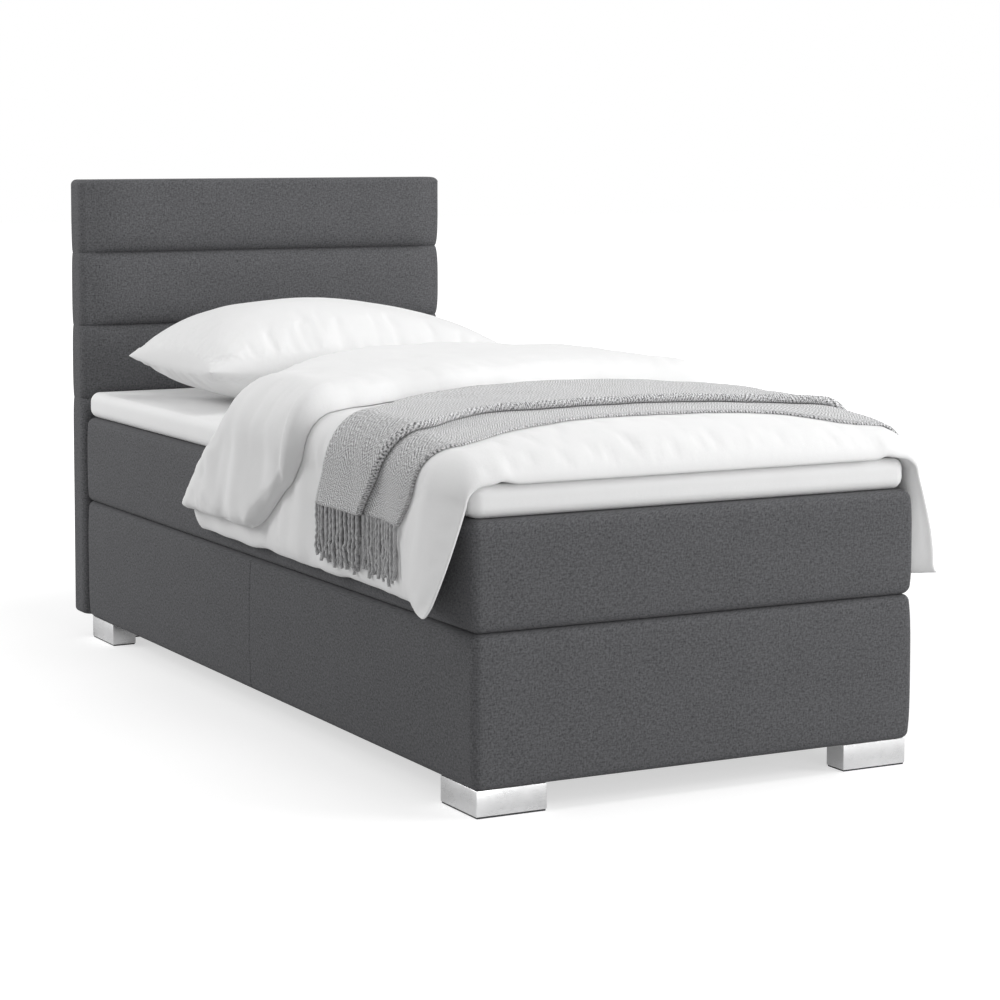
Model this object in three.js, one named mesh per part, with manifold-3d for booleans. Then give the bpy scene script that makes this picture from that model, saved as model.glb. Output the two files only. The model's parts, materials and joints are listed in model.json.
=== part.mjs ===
// Box spring bed: upholstered base, mattress box, topper, channelled headboard, corner feet and bedding.
// Millimetres, +Z up, the head end at +Y. The origin is on the floor under the middle of the bed.
import * as THREE from 'three';
import { mergeVertices } from 'three/addons/utils/BufferGeometryUtils.js';
import Module from 'manifold-3d';

const wasm = await Module();
wasm.setup();

// Driving dimensions
const boxWidth = 930;
const boxLength = 2000;
const baseHeight = 275;
const mattressHeight = 198;
const topperHeight = 60;
const topperSideInset = 4;
const topperFootInset = 15;
const headboardWidth = 948;
const headboardHeight = 1034;
const headboardThickness = 72;

// Clearances shared by the whole bed
const seat = 0.3;
const overrun = 5;
const weld = 1e-3;

// Upholstery: the covers' edges are rounded, and their sides crown outwards between the edges
const coverWall = 3;
const baseEdge = 13;
const mattressEdge = 16;
const boxCorner = 18;
const boxCrown = 4;
const seamWidth = 2.4;
const seamDepth = 1.6;
const turnIn = 40;
const clothThickness = 1.5;

// Timber frame in the base
const railThickness = 18;
const sidePadding = 15;
const topFoamThickness = 25;
const feltThickness = 4;
const baseSpringHeight = 140;
const slatThickness = 18;
const slatWidth = 90;
const slatCount = 7;
const ledgerSize = 30;
const beamWidth = 40;
const beamHeight = 60;
const blockSize = 80;

// Mattress box
const borderThickness = 45;
const mattressFoamThickness = 20;

// Spring cores: pockets across and along, and how deep the gaps between them are
const basePockets = [6, 13];
const mattressPockets = [7, 16];
const pocketGapShare = 0.2;
const pocketDentShare = 0.12;

// Topper
const topperWall = 2;
const topperEdge = 22;
const topperCorner = 24;
const zipWidth = 640;
const zipHeight = 4;

// Corner feet
const glideThickness = 3;
const glideInset = 1.5;
const footHeight = 47;
const footArm = 140;
const footWidth = 55;
const footInset = 8;
const footWall = 3;

// Bolts
const boltRadius = 4;
const boltHeadRadius = 6.5;
const boltHeadHeight = 5;
const boltClearance = 0.6;
const footBoltInset = 40;
const footBoltLength = 48;
const headBoltToBlock = 48;
const headBoltLevel = 45;
const headBoltLength = 92;
const roundSides = 12;

// Headboard
const panelHeight = 172.5;
const panelCount = 3;
const frontTuck = 12;
const sideTuck = 2.5;
const headEdge = 14;
const headCorner = 22;
const backCorner = 6;
const boardThickness = 22;
const tuckReach = 78;

// Duvet
const duvetThickness = 74;
const duvetCrownHeight = 18;
const duvetSideLength = 192;
const duvetEdgeRadius = 60;
const duvetRimThickness = 6;
const duvetSideThickness = 24;
const duvetSideClearance = 2;
const flapThickness = 52;
const flapSideThickness = 34;
const footDipDepth = 46;
const footDipLength = 110;
const footLapLength = 3;
const cornerThickness = 26;
const cornerFlareWidth = 50;
const cornerExtraLength = 10;
const cornerRadius = 160;

// Throw
const throwThickness = 5;
const throwGap = 0.8;
const tasselLength = 106;
const tasselWidth = 9;
const tasselSwayWidth = 4;
const tasselCount = 10;

// Pillow
const pillowWidth = 771;
const pillowDepth = 500;
const pillowRiseHeight = 129;
const pillowSinkDepth = 96;
const pillowOffsetWidth = 36;
const pillowToHeadboardLength = 175;

// Levels, from the floor up
const footBottom = glideThickness + seat;
const footTop = footBottom + footHeight;
const baseBottom = footTop + seat;
const baseTop = baseBottom + baseHeight;
const mattressBottom = baseTop + seat;
const mattressTop = mattressBottom + mattressHeight;
const topperBottom = mattressTop + seat;
const topperTop = topperBottom + topperHeight;

// Places along the bed
const totalLength = boxLength + seat + headboardThickness;
const footFace = -totalLength / 2;
const headFace = footFace + boxLength;
const boxMiddle = footFace + boxLength / 2;
const headFront = headFace + seat;
const headBack = headFront + headboardThickness;
const pillowFront = headFront - pillowToHeadboardLength - pillowDepth;

// The three upholstered boxes; their head ends are flat, because the headboard stands against them
const baseBox = {
  halfWidth: boxWidth / 2,
  near: footFace,
  far: headFace,
  bottom: baseBottom,
  top: baseTop,
  edge: baseEdge,
  corner: boxCorner,
  crown: boxCrown,
};
const mattressBox = { ...baseBox, bottom: mattressBottom, top: mattressTop, edge: mattressEdge };
const topperBox = {
  halfWidth: boxWidth / 2 - topperSideInset,
  near: footFace + topperFootInset,
  far: headFace,
  bottom: topperBottom,
  top: topperTop,
  edge: topperEdge,
  corner: topperCorner,
  crown: 0,
};

const finishes = {
  upholstery: { color: 0x58585b, roughness: 0.95, metalness: 0 },
  topperCloth: { color: 0xdddddd, roughness: 0.9, metalness: 0 },
  linen: { color: 0xf0f0f0, roughness: 0.85, metalness: 0 },
  throwWeave: { color: 0xa2a2a2, roughness: 0.95, metalness: 0 },
  satinMetal: { color: 0xd4d6d8, roughness: 0.35, metalness: 0.9 },
  glide: { color: 0x26262a, roughness: 0.7, metalness: 0 },
  steel: { color: 0xa8abae, roughness: 0.4, metalness: 0.9 },
  timber: { color: 0xc8a878, roughness: 0.7, metalness: 0 },
  board: { color: 0xb89a6c, roughness: 0.8, metalness: 0 },
  foam: { color: 0xe8e2c8, roughness: 0.95, metalness: 0 },
  felt: { color: 0x8c8a86, roughness: 1, metalness: 0 },
  pocketCloth: { color: 0xe6e9ee, roughness: 0.9, metalness: 0 },
  lining: { color: 0x2c2c2e, roughness: 0.95, metalness: 0 },
};

const bed = new THREE.Group();

/** Adds a named piece to the bed; shape is a BufferGeometry or a Manifold. */
function add(name, shape, finish) {
  const geometry = shape.isBufferGeometry ? outward(welded(shape)) : geometryOf(shape);
  const mesh = new THREE.Mesh(geometry, new THREE.MeshStandardMaterial(finishes[finish]));
  mesh.name = name;
  bed.add(mesh);
}

/** The geometry with only its positions, and its shared vertices merged. */
function welded(geometry) {
  const bare = geometry.clone();
  bare.deleteAttribute('normal');
  bare.deleteAttribute('uv');
  return mergeVertices(bare, weld);
}

/** Turns a closed surface right side out, by the sign of its volume. */
function outward(geometry) {
  const points = geometry.attributes.position;
  const corners = [new THREE.Vector3(), new THREE.Vector3(), new THREE.Vector3()];
  const index = [];
  let volume = 0;
  for (let i = 0; i < geometry.index.count; i += corners.length) {
    const triangle = corners.map((_, k) => geometry.index.getX(i + k));
    if (new Set(triangle).size < corners.length) continue;
    corners.forEach((corner, k) => corner.fromBufferAttribute(points, triangle[k]));
    volume += corners[0].dot(corners[1].clone().cross(corners[2]));
    index.push(triangle);
  }
  const turned = volume < 0 ? index.map(([a, b, c]) => [a, c, b]) : index;
  const result = new THREE.BufferGeometry();
  result.setAttribute('position', points.clone());
  result.setIndex(turned.flat());
  return result;
}

function solidOf(geometry) {
  const closed = outward(welded(geometry));
  return new wasm.Manifold(new wasm.Mesh({
    numProp: 3,
    vertProperties: new Float32Array(closed.attributes.position.array),
    triVerts: new Uint32Array(closed.index.array),
  }));
}

function geometryOf(solid) {
  const mesh = solid.getMesh();
  const geometry = new THREE.BufferGeometry();
  geometry.setAttribute('position', new THREE.BufferAttribute(new Float32Array(mesh.vertProperties), 3));
  geometry.setIndex(new THREE.BufferAttribute(new Uint32Array(mesh.triVerts), 1));
  return geometry;
}

/** A box between two corners. */
function block([x0, x1], [y0, y1], [z0, z1]) {
  const geometry = new THREE.BoxGeometry(x1 - x0, y1 - y0, z1 - z0);
  return geometry.translate((x0 + x1) / 2, (y0 + y1) / 2, (z0 + z1) / 2);
}

/** A flat outline made into a solid between two levels. */
function prism(shape, bottom, top) {
  const geometry = new THREE.ExtrudeGeometry(shape, { depth: top - bottom, bevelEnabled: false });
  return geometry.translate(0, 0, bottom);
}

/** A cylinder that runs along +Z, or +Y, from a point. */
function rod(radius, length, [x, y, z], alongY = false) {
  const geometry = new THREE.CylinderGeometry(radius, radius, length, roundSides);
  if (alongY) return geometry.translate(x, y + length / 2, z);
  return geometry.rotateX(Math.PI / 2).translate(x, y, z + length / 2);
}

/** A machine bolt with a round head and a plain shank that runs along +Z, or +Y, from its seat. */
function bolt(length, [x, y, z], alongY = false) {
  const profile = [
    [0, -boltHeadHeight],
    [boltHeadRadius, -boltHeadHeight],
    [boltHeadRadius, 0],
    [boltRadius, 0],
    [boltRadius, length],
    [0, length],
  ];
  const points = profile.map(([r, h]) => new THREE.Vector2(r, h));
  const geometry = new THREE.LatheGeometry(points, roundSides);
  if (!alongY) geometry.rotateX(Math.PI / 2);
  return geometry.translate(x, y, z);
}

/** Two grids of points, outer and inner, closed into one skin round their rims. */
function skin(outer, inner) {
  const rows = outer.length;
  const columns = outer[0].length;
  const points = [...outer.flat(), ...inner.flat()];
  const at = (side, row, column) => side * rows * columns + row * columns + column;
  const index = [];
  const quad = (a, b, c, d) => index.push(a, b, c, a, c, d);
  for (let i = 0; i < rows - 1; i++) {
    for (let j = 0; j < columns - 1; j++) {
      quad(at(0, i, j), at(0, i, j + 1), at(0, i + 1, j + 1), at(0, i + 1, j));
      quad(at(1, i, j), at(1, i + 1, j), at(1, i + 1, j + 1), at(1, i, j + 1));
    }
  }
  const [lastRow, lastColumn] = [rows - 1, columns - 1];
  for (let j = 0; j < lastColumn; j++) {
    quad(at(0, 0, j), at(1, 0, j), at(1, 0, j + 1), at(0, 0, j + 1));
    quad(at(0, lastRow, j), at(0, lastRow, j + 1), at(1, lastRow, j + 1), at(1, lastRow, j));
  }
  for (let i = 0; i < lastRow; i++) {
    quad(at(0, i, 0), at(0, i + 1, 0), at(1, i + 1, 0), at(1, i, 0));
    quad(at(0, i, lastColumn), at(1, i, lastColumn), at(1, i + 1, lastColumn), at(0, i + 1, lastColumn));
  }
  const geometry = new THREE.BufferGeometry().setFromPoints(points);
  geometry.setIndex(index);
  return geometry;
}

/** Closed rings of points, one above the other, with flat ends. */
function loft(rings) {
  const count = rings[0].length;
  const points = rings.flat();
  const index = [];
  for (let i = 0; i < rings.length - 1; i++) {
    for (let j = 0; j < count; j++) {
      const [a, b] = [i * count + j, i * count + (j + 1) % count];
      index.push(a, b, b + count, a, b + count, a + count);
    }
  }
  const last = (rings.length - 1) * count;
  for (let j = 1; j < count - 1; j++) {
    index.push(0, j + 1, j, last, last + j, last + j + 1);
  }
  const geometry = new THREE.BufferGeometry().setFromPoints(points);
  geometry.setIndex(index);
  return geometry;
}

// A quarter circle in steps of 30 degrees
const arcSteps = [0, 1, 2, 3];
const arcTurn = Math.PI / 2 / (arcSteps.length - 1);
const edgeShares = arcSteps.map((step) => 1 - Math.cos(step * arcTurn));

/** A level outline with rounded corners of one radius at its near end and another at its far end. */
function outlineRing([halfWidth, near, far], level, nearRadius, farRadius = nearRadius) {
  const arc = (x, y, radius, quarter) => arcSteps.map((step) => {
    const angle = quarter * Math.PI / 2 + step * arcTurn;
    return new THREE.Vector3(x + radius * Math.cos(angle), y + radius * Math.sin(angle), level);
  });
  const [nearX, farX] = [halfWidth - nearRadius, halfWidth - farRadius];
  return [
    ...arc(-nearX, near + nearRadius, nearRadius, 2),
    ...arc(nearX, near + nearRadius, nearRadius, 3),
    ...arc(farX, far - farRadius, farRadius, 0),
    ...arc(-farX, far - farRadius, farRadius, 1),
  ];
}

/** How far a rounded edge stands back at a distance from the end face that it rounds into. */
function standBack(distance, radius) {
  const left = radius - THREE.MathUtils.clamp(distance, 0, radius);
  return radius - Math.sqrt(radius ** 2 - left ** 2);
}

const crownShares = [0.1, 0.3, 0.5, 0.7, 0.9];

/** The levels of a soft box's rings, inside an offset from its outer face. */
function boxLevels(box, offset) {
  const [low, high] = [box.bottom + offset, box.top - offset];
  const radius = box.edge - offset;
  const between = crownShares.map((share) => THREE.MathUtils.lerp(low + radius, high - radius, share));
  const rising = edgeShares.map((share) => low + share * radius);
  return [...rising, ...between, ...edgeShares.map((share) => high - share * radius).reverse()];
}

/** A soft box's half width at a level: crowned between its edges and rounded at them. */
function boxSide(box, level, offset = 0) {
  const fromEnd = Math.min(level - box.bottom, box.top - level) - offset;
  const height = (level - box.bottom) / (box.top - box.bottom);
  const crown = box.crown * (1 - Math.abs(2 * height - 1) ** 4);
  return box.halfWidth + crown - offset - standBack(fromEnd, box.edge - offset);
}

/** A soft box's whole form, inside an offset from its outer face. */
function boxForm(box, offset = 0) {
  return solidOf(loft(boxLevels(box, offset).map((level) => {
    const side = boxSide(box, level, offset);
    const fromEnd = Math.min(level - box.bottom, box.top - level) - offset;
    const back = standBack(fromEnd, box.edge - offset);
    const near = box.near - (side - box.halfWidth);
    const corner = Math.max(box.corner - offset - back, seat);
    return outlineRing([side, near, box.far - offset - back], level, corner);
  })));
}

/** A fitted cover: a soft box hollowed out, with a window below inside its turned-in hem. */
function boxCover(box) {
  const window = solidOf(block([-box.halfWidth + turnIn, box.halfWidth - turnIn],
    [box.near + turnIn, box.far - turnIn], [box.bottom - overrun, box.bottom + coverWall + overrun]));
  return boxForm(box).subtract(boxForm(box, coverWall)).subtract(window);
}

/** The padding that lines a box cover's upright walls, down to an inset from the cover's outer face. */
function boxPadding(box, inset) {
  const inner = solidOf(block([-box.halfWidth + inset, box.halfWidth - inset],
    [box.near + inset, box.far - inset], [box.bottom - overrun, box.top + overrun]));
  return boxForm(box, coverWall + seat).subtract(inner);
}

/** The cloth that closes the window under a box. */
function undercloth(box) {
  const reach = turnIn + seat;
  return block([-box.halfWidth + reach, box.halfWidth - reach], [box.near + reach, box.far - reach],
    [box.bottom + coverWall - clothThickness, box.bottom + coverWall]);
}

/** A smooth curve through [place, value] pairs, read at a place: flat beyond its ends. */
function along(pairs, place) {
  const last = pairs.length - 1;
  if (place <= pairs[0][0]) return pairs[0][1];
  if (place >= pairs[last][0]) return pairs[last][1];
  const k = pairs.findIndex(([p]) => p > place) - 1;
  const [p0, p1] = [pairs[k], pairs[k + 1]];
  const slope = (i) => {
    const [a, b] = [pairs[Math.max(i - 1, 0)], pairs[Math.min(i + 1, last)]];
    return (b[1] - a[1]) / (b[0] - a[0]);
  };
  const span = p1[0] - p0[0];
  const t = (place - p0[0]) / span;
  const [t2, t3] = [t ** 2, t ** 3];
  return (2 * t3 - 3 * t2 + 1) * p0[1] + (t3 - 2 * t2 + t) * span * slope(k)
    + (3 * t2 - 2 * t3) * p1[1] + (t3 - t2) * span * slope(k + 1);
}

/** A pocket spring core: barrels in rows, joined where they touch, with a gap at each crossing. */
function pocketCore([left, right], [near, far], [bottom, top], [across, down]) {
  const pitch = [(right - left) / across, (far - near) / down];
  const dent = pocketDentShare * Math.min(...pitch);
  const gap = pocketGapShare * Math.min(...pitch);
  const sides = [
    { count: across, from: [left, near], to: [right, near], inward: [0, dent] },
    { count: down, from: [right, near], to: [right, far], inward: [-dent, 0] },
    { count: across, from: [right, far], to: [left, far], inward: [0, -dent] },
    { count: down, from: [left, far], to: [left, near], inward: [dent, 0] },
  ];
  const outline = [];
  for (const { count, from, to, inward } of sides) {
    const place = (share, depth) => new THREE.Vector2(
      THREE.MathUtils.lerp(from[0], to[0], share) + inward[0] * depth,
      THREE.MathUtils.lerp(from[1], to[1], share) + inward[1] * depth,
    );
    for (let i = 0; i < count; i++) {
      if (i > 0) outline.push(place(i / count, 1));
      outline.push(place((i + 0.5) / count, 0));
    }
  }
  const shape = new THREE.Shape(outline);
  for (let i = 1; i < across; i++) {
    for (let j = 1; j < down; j++) {
      const [x, y] = [left + i * pitch[0], near + j * pitch[1]];
      const diamond = [[x - gap, y], [x, y + gap], [x + gap, y], [x, y - gap]];
      shape.holes.push(new THREE.Path(diamond.map(([px, py]) => new THREE.Vector2(px, py))));
    }
  }
  return prism(shape, bottom, top);
}

// Base: frame, springs and upholstery
const railInset = coverWall + seat + sidePadding + seat;
const railOuter = baseBox.halfWidth - railInset;
const railInner = railOuter - railThickness;
const railFoot = baseBox.near + railInset;
const railHead = baseBox.far - railInset;
const frameFoot = railFoot + railThickness;
const frameHead = railHead - railThickness;
const railBottom = baseBottom + coverWall + seat;
const foamTop = baseTop - coverWall - seat;
const foamBottom = foamTop - topFoamThickness;
const feltBottom = foamBottom - seat - feltThickness;
const railTop = feltBottom - seat;
const slatTop = railTop - baseSpringHeight - seat;
const slatBottom = slatTop - slatThickness;
const ledgerTop = slatBottom - seat;
const ledgerBottom = ledgerTop - ledgerSize;
const blockTop = ledgerBottom - seat;
const betweenRails = [-railInner + seat, railInner - seat];
const betweenEnds = [frameFoot + seat, frameHead - seat];

// The feet's bolts stand in from the boxes' corners
const boltX = boxWidth / 2 - footInset - footBoltInset;
const boltFootY = footFace + footInset + footBoltInset;
const boltHeadY = headFace - footInset - footBoltInset;
const corners = [
  { name: 'front_left', x: -1, y: -1, boltY: boltFootY },
  { name: 'front_right', x: 1, y: -1, boltY: boltFootY },
  { name: 'rear_left', x: -1, y: 1, boltY: boltHeadY },
  { name: 'rear_right', x: 1, y: 1, boltY: boltHeadY },
];
const boltHole = boltRadius + boltClearance;
const boltSeat = footTop - footWall - seat;

// The headboard's bolts pass the head rail beside the corner blocks
const headBoltX = railInner - seat - blockSize - headBoltToBlock;
const headBoltZ = baseBottom + headBoltLevel;
const headBoltSeat = frameHead - seat;

/** Cuts the headboard bolts' clearance holes through a piece. */
function drilledForHeadboard(solid) {
  return [-headBoltX, headBoltX].reduce((piece, x) => piece.subtract(solidOf(
    rod(boltHole, headBoltLength + overrun, [x, headBoltSeat - overrun / 2, headBoltZ], true))), solid);
}

function addBaseFrame() {
  const rise = (a, b) => a - b;
  for (const [name, side] of [['left', -1], ['right', 1]]) {
    const railX = [side * railOuter, side * railInner].sort(rise);
    add(`base_side_rail_${name}`, block(railX, [railFoot, railHead], [railBottom, railTop]), 'timber');
    const ledgerX = [side * betweenRails[1], side * (betweenRails[1] - ledgerSize)].sort(rise);
    add(`base_ledger_${name}`, block(ledgerX, betweenEnds, [ledgerBottom, ledgerTop]), 'timber');
  }
  add('base_foot_rail', block(betweenRails, [railFoot, frameFoot], [railBottom, railTop]), 'timber');
  const headRail = solidOf(block(betweenRails, [frameHead, railHead], [railBottom, railTop]));
  add('base_head_rail', drilledForHeadboard(headRail), 'timber');
  const beamX = [-beamWidth / 2, beamWidth / 2];
  add('base_centre_beam', block(beamX, betweenEnds, [ledgerTop - beamHeight, ledgerTop]), 'timber');
  for (const corner of corners) {
    const x = corner.x * betweenRails[1];
    const y = corner.y < 0 ? betweenEnds[0] : betweenEnds[1];
    const cube = block([x, x - corner.x * blockSize].sort(rise), [y, y - corner.y * blockSize].sort(rise),
      [railBottom, blockTop]);
    const depth = boltSeat + footBoltLength + boltClearance - railBottom;
    const hole = rod(boltHole, depth + overrun, [corner.x * boltX, corner.boltY, railBottom - overrun]);
    add(`base_corner_block_${corner.name}`, solidOf(cube).subtract(solidOf(hole)), 'timber');
  }
  const slatStep = (betweenEnds[1] - betweenEnds[0] - slatWidth) / (slatCount - 1);
  for (let i = 0; i < slatCount; i++) {
    const near = betweenEnds[0] + i * slatStep;
    add(`base_slat_${i + 1}`, block(betweenRails, [near, near + slatWidth], [slatBottom, slatTop]), 'timber');
  }
}

/** The groove of the cover's upright seam, half way along one side. */
function seamGroove(side) {
  const plan = [[-seamDepth, 0], [0, seamWidth / 2], [seamDepth, 0], [0, -seamWidth / 2]];
  const ring = (x, level) => plan.map(([dx, dy]) => new THREE.Vector3(side * x + dx, boxMiddle + dy, level));
  const levels = boxLevels(baseBox, 0);
  return solidOf(loft(levels.map((level) => ring(boxSide(baseBox, level), level))));
}

function addBaseUpholstery() {
  add('base_spring_core', pocketCore(betweenRails, betweenEnds, [slatTop + seat, railTop], basePockets),
    'pocketCloth');
  const spread = [[-railOuter, railOuter], [railFoot, railHead]];
  add('base_felt', block(...spread, [feltBottom, feltBottom + feltThickness]), 'felt');
  add('base_top_foam', block(...spread, [foamBottom, foamTop]), 'foam');
  add('base_side_padding', drilledForHeadboard(boxPadding(baseBox, railInset - seat)), 'foam');
  const cover = boxCover(baseBox).subtract(seamGroove(-1)).subtract(seamGroove(1));
  add('base_cover', drilledForHeadboard(cover), 'upholstery');
  const holes = corners.map((corner) => solidOf(
    rod(boltHole, coverWall + 2 * overrun, [corner.x * boltX, corner.boltY, baseBottom - overrun])));
  add('base_dust_cover', holes.reduce((cloth, hole) => cloth.subtract(hole), solidOf(undercloth(baseBox))),
    'lining');
}

/** The plan of a corner foot: an L whose outside corner points to the bed's corner. */
function footPlan(corner, inset) {
  const outerX = corner.x * (boxWidth / 2 - footInset - inset);
  const outerY = corner.y < 0 ? footFace + footInset + inset : headFace - footInset - inset;
  const [arm, width] = [footArm - 2 * inset, footWidth - 2 * inset];
  const plan = [[0, 0], [arm, 0], [arm, width], [width, width], [width, arm], [0, arm]];
  return new THREE.Shape(plan.map(([across, down]) =>
    new THREE.Vector2(outerX - corner.x * across, outerY - corner.y * down)));
}

function addFeet() {
  for (const corner of corners) {
    const shell = solidOf(prism(footPlan(corner, 0), footBottom, footTop));
    const hollow = solidOf(prism(footPlan(corner, footWall), footBottom - overrun, footTop - footWall));
    const hole = solidOf(rod(boltHole, footWall + 2 * overrun,
      [corner.x * boltX, corner.boltY, footTop - footWall - overrun]));
    add(`foot_${corner.name}`, shell.subtract(hollow).subtract(hole), 'satinMetal');
    add(`foot_glide_${corner.name}`, prism(footPlan(corner, glideInset), 0, glideThickness), 'glide');
    const boltPlace = [corner.x * boltX, corner.boltY, boltSeat];
    add(`foot_bolt_${corner.name}`, bolt(footBoltLength, boltPlace), 'steel');
  }
}

function addMattress() {
  const inset = coverWall + seat + borderThickness;
  add('mattress_cover', boxCover(mattressBox), 'upholstery');
  add('mattress_underside', undercloth(mattressBox), 'lining');
  add('mattress_foam_border', boxPadding(mattressBox, inset), 'foam');
  const reach = inset + seat;
  const spread = [
    [-mattressBox.halfWidth + reach, mattressBox.halfWidth - reach],
    [mattressBox.near + reach, mattressBox.far - reach],
  ];
  const lowerFoam = mattressBottom + coverWall + seat;
  const lowerFelt = lowerFoam + mattressFoamThickness + seat;
  const upperFoam = mattressTop - coverWall - seat - mattressFoamThickness;
  const upperFelt = upperFoam - seat - feltThickness;
  const layer = (bottom, thickness) => block(...spread, [bottom, bottom + thickness]);
  add('mattress_bottom_foam', layer(lowerFoam, mattressFoamThickness), 'foam');
  add('mattress_bottom_felt', layer(lowerFelt, feltThickness), 'felt');
  add('mattress_spring_core', pocketCore(...spread, [lowerFelt + feltThickness + seat, upperFelt - seat],
    mattressPockets), 'pocketCloth');
  add('mattress_top_felt', layer(upperFelt, feltThickness), 'felt');
  add('mattress_top_foam', layer(upperFoam, mattressFoamThickness), 'foam');
}

function addTopper() {
  const middle = (topperBottom + topperTop) / 2;
  const zip = solidOf(block([-zipWidth / 2, zipWidth / 2],
    [headFace - topperWall - overrun, headFace + overrun],
    [middle - zipHeight / 2, middle + zipHeight / 2]));
  const cover = boxForm(topperBox).subtract(boxForm(topperBox, topperWall)).subtract(zip);
  add('topper_cover', cover, 'topperCloth');
  add('topper_core', boxForm(topperBox, topperWall + seat), 'foam');
}

// Headboard
const headBottom = baseBottom;
const headTop = headBottom + headboardHeight;
const seamLevels = Array.from({ length: panelCount }, (_, i) => headTop - (i + 1) * panelHeight).reverse();
const tuckShares = [0.05, 0.16, 0.42, 1];

/** How far the cloth is drawn in at a level: 1 at a seam and 0 over a panel's crown. */
function drawnIn(level) {
  const distance = Math.min(...seamLevels.map((seam) => Math.abs(level - seam)));
  return Math.max(0, 1 - distance / tuckReach) ** 4;
}

/** The outline of the headboard at a level, drawn inwards by an offset. */
function headboardRing(level, offset) {
  const back = standBack(Math.min(level - headBottom, headTop - level) - offset, headEdge - offset);
  const side = headboardWidth / 2 - sideTuck * drawnIn(level) - offset - back;
  const front = headFront + frontTuck * drawnIn(level) + offset + back;
  return outlineRing([side, front, headBack - offset], level, headCorner - offset, backCorner - offset);
}

/** The whole upholstered form of the headboard, inside an offset from its outer face. */
function headboardForm(offset = 0) {
  const ends = edgeShares.map((share) => offset + share * (headEdge - offset));
  const levels = [
    ...ends.map((distance) => headBottom + distance),
    ...ends.map((distance) => headTop - distance),
    ...seamLevels,
    ...seamLevels.flatMap((seam) => tuckShares.map((share) => seam - share * tuckReach)),
    ...seamLevels.flatMap((seam) => tuckShares.map((share) => seam + share * tuckReach)),
  ];
  levels.sort((a, b) => a - b);
  return solidOf(loft(levels.map((level) => headboardRing(level, offset))));
}

function addHeadboard() {
  const window = solidOf(block([-headboardWidth / 2 + turnIn, headboardWidth / 2 - turnIn],
    [headBack - coverWall - overrun, headBack + overrun], [headBottom + turnIn, headTop - turnIn]));
  const cover = headboardForm().subtract(headboardForm(coverWall)).subtract(window);
  add('headboard_cover', drilledForHeadboard(cover), 'upholstery');

  const clothBack = headBack - coverWall - seat;
  const boardBack = clothBack - clothThickness - seat;
  const boardFront = boardBack - boardThickness;
  const halfWidth = headboardWidth / 2 - sideTuck - backCorner - coverWall;
  const spanX = [-halfWidth, halfWidth];
  const spanZ = [headBottom + headEdge, headTop - headEdge];
  add('headboard_back_cloth', block(spanX, [clothBack - clothThickness, clothBack], spanZ), 'lining');
  add('headboard_board', drilledForHeadboard(solidOf(block(spanX, [boardFront, boardBack], spanZ))), 'board');

  const padding = headboardForm(coverWall + seat);
  const cuts = [headBottom, ...seamLevels, headTop];
  for (let i = 0; i < cuts.length - 1; i++) {
    const slice = solidOf(block([-headboardWidth, headboardWidth], [headFront - overrun, boardFront - seat],
      [cuts[i] + seat / 2, cuts[i + 1] - seat / 2]));
    const strip = padding.intersect(slice);
    add(`headboard_foam_${i + 1}`, i === 0 ? drilledForHeadboard(strip) : strip, 'foam');
  }
  for (const [name, x] of [['left', -headBoltX], ['right', headBoltX]]) {
    add(`headboard_bolt_${name}`, bolt(headBoltLength, [x, headBoltSeat, headBoltZ], true), 'steel');
  }
}

// Bedding. It lies over the topper and drops beside the boxes. A place on it is an arc length across from
// the middle of the bed, a place along the bed and a height off the surface that it lies on.
const restLevel = topperTop + 2 * seat;
const flatHalf = topperBox.halfWidth - topperEdge;
const drapeRadius = boxWidth / 2 + boxCrown + duvetSideClearance - flatHalf;
const shoulderArc = (Math.PI / 2) * (drapeRadius + duvetThickness / 2);
const shoulderEnd = flatHalf + shoulderArc;
const duvetHalf = shoulderEnd + duvetSideLength;

/** How far a place on the duvet's edge stands from the foot end, and how much of a corner it is. */
const fromFoot = (y) => Math.max(y - footFace, 0);
const cornerShare = (y) => Math.exp(-((fromFoot(y) / cornerRadius) ** 2));

/** How far over the shoulder an arc length is: 0 on the top and 1 on the upright drop. */
const turnShare = (reach) => THREE.MathUtils.clamp((reach - flatHalf) / shoulderArc, 0, 1);

/** The point of a draped sheet at arc length s across, y along, and the given lift off what it lies on. */
function draped(s, y, lift) {
  const side = Math.sign(s) || 1;
  const reach = Math.abs(s);
  const angle = turnShare(reach) * Math.PI / 2;
  const radius = drapeRadius + lift;
  const dropShare = Math.max(reach - shoulderEnd, 0) / duvetSideLength;
  const flare = cornerFlareWidth * cornerShare(y) * dropShare;
  const drop = (duvetSideLength + cornerExtraLength * Math.exp(-fromFoot(y) / cornerRadius)) * dropShare;
  return new THREE.Vector3(side * (Math.min(reach, flatHalf) + radius * Math.sin(angle) + flare), y,
    restLevel - drapeRadius + radius * Math.cos(angle) - drop);
}

// Lines on the duvet: places across as shares of its half width, and places along as shares of the way
// from the foot end to the pillow
const foldShares = [[-1, 0.99], [-0.96, 0.972], [-0.92, 0.948], [-0.84, 0.904], [-0.76, 0.853],
  [-0.7, 0.797], [-0.64, 0.75], [-0.6, 0.738], [-0.56, 0.758], [-0.48, 0.812], [-0.36, 0.882],
  [-0.24, 0.926], [-0.12, 0.968], [0, 0.982], [0.2, 0.984], [0.45, 0.973], [0.58, 0.955], [0.68, 0.91],
  [0.78, 0.892], [0.88, 0.905], [1, 0.95]];
const flapHemShares = [[-1, 0.69], [-0.95, 0.663], [-0.87, 0.605], [-0.77, 0.52], [-0.67, 0.481],
  [-0.52, 0.491], [-0.38, 0.51], [-0.22, 0.515], [-0.05, 0.544], [0.18, 0.588], [0.45, 0.604], [0.65, 0.596],
  [0.8, 0.61], [1, 0.68]];
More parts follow.
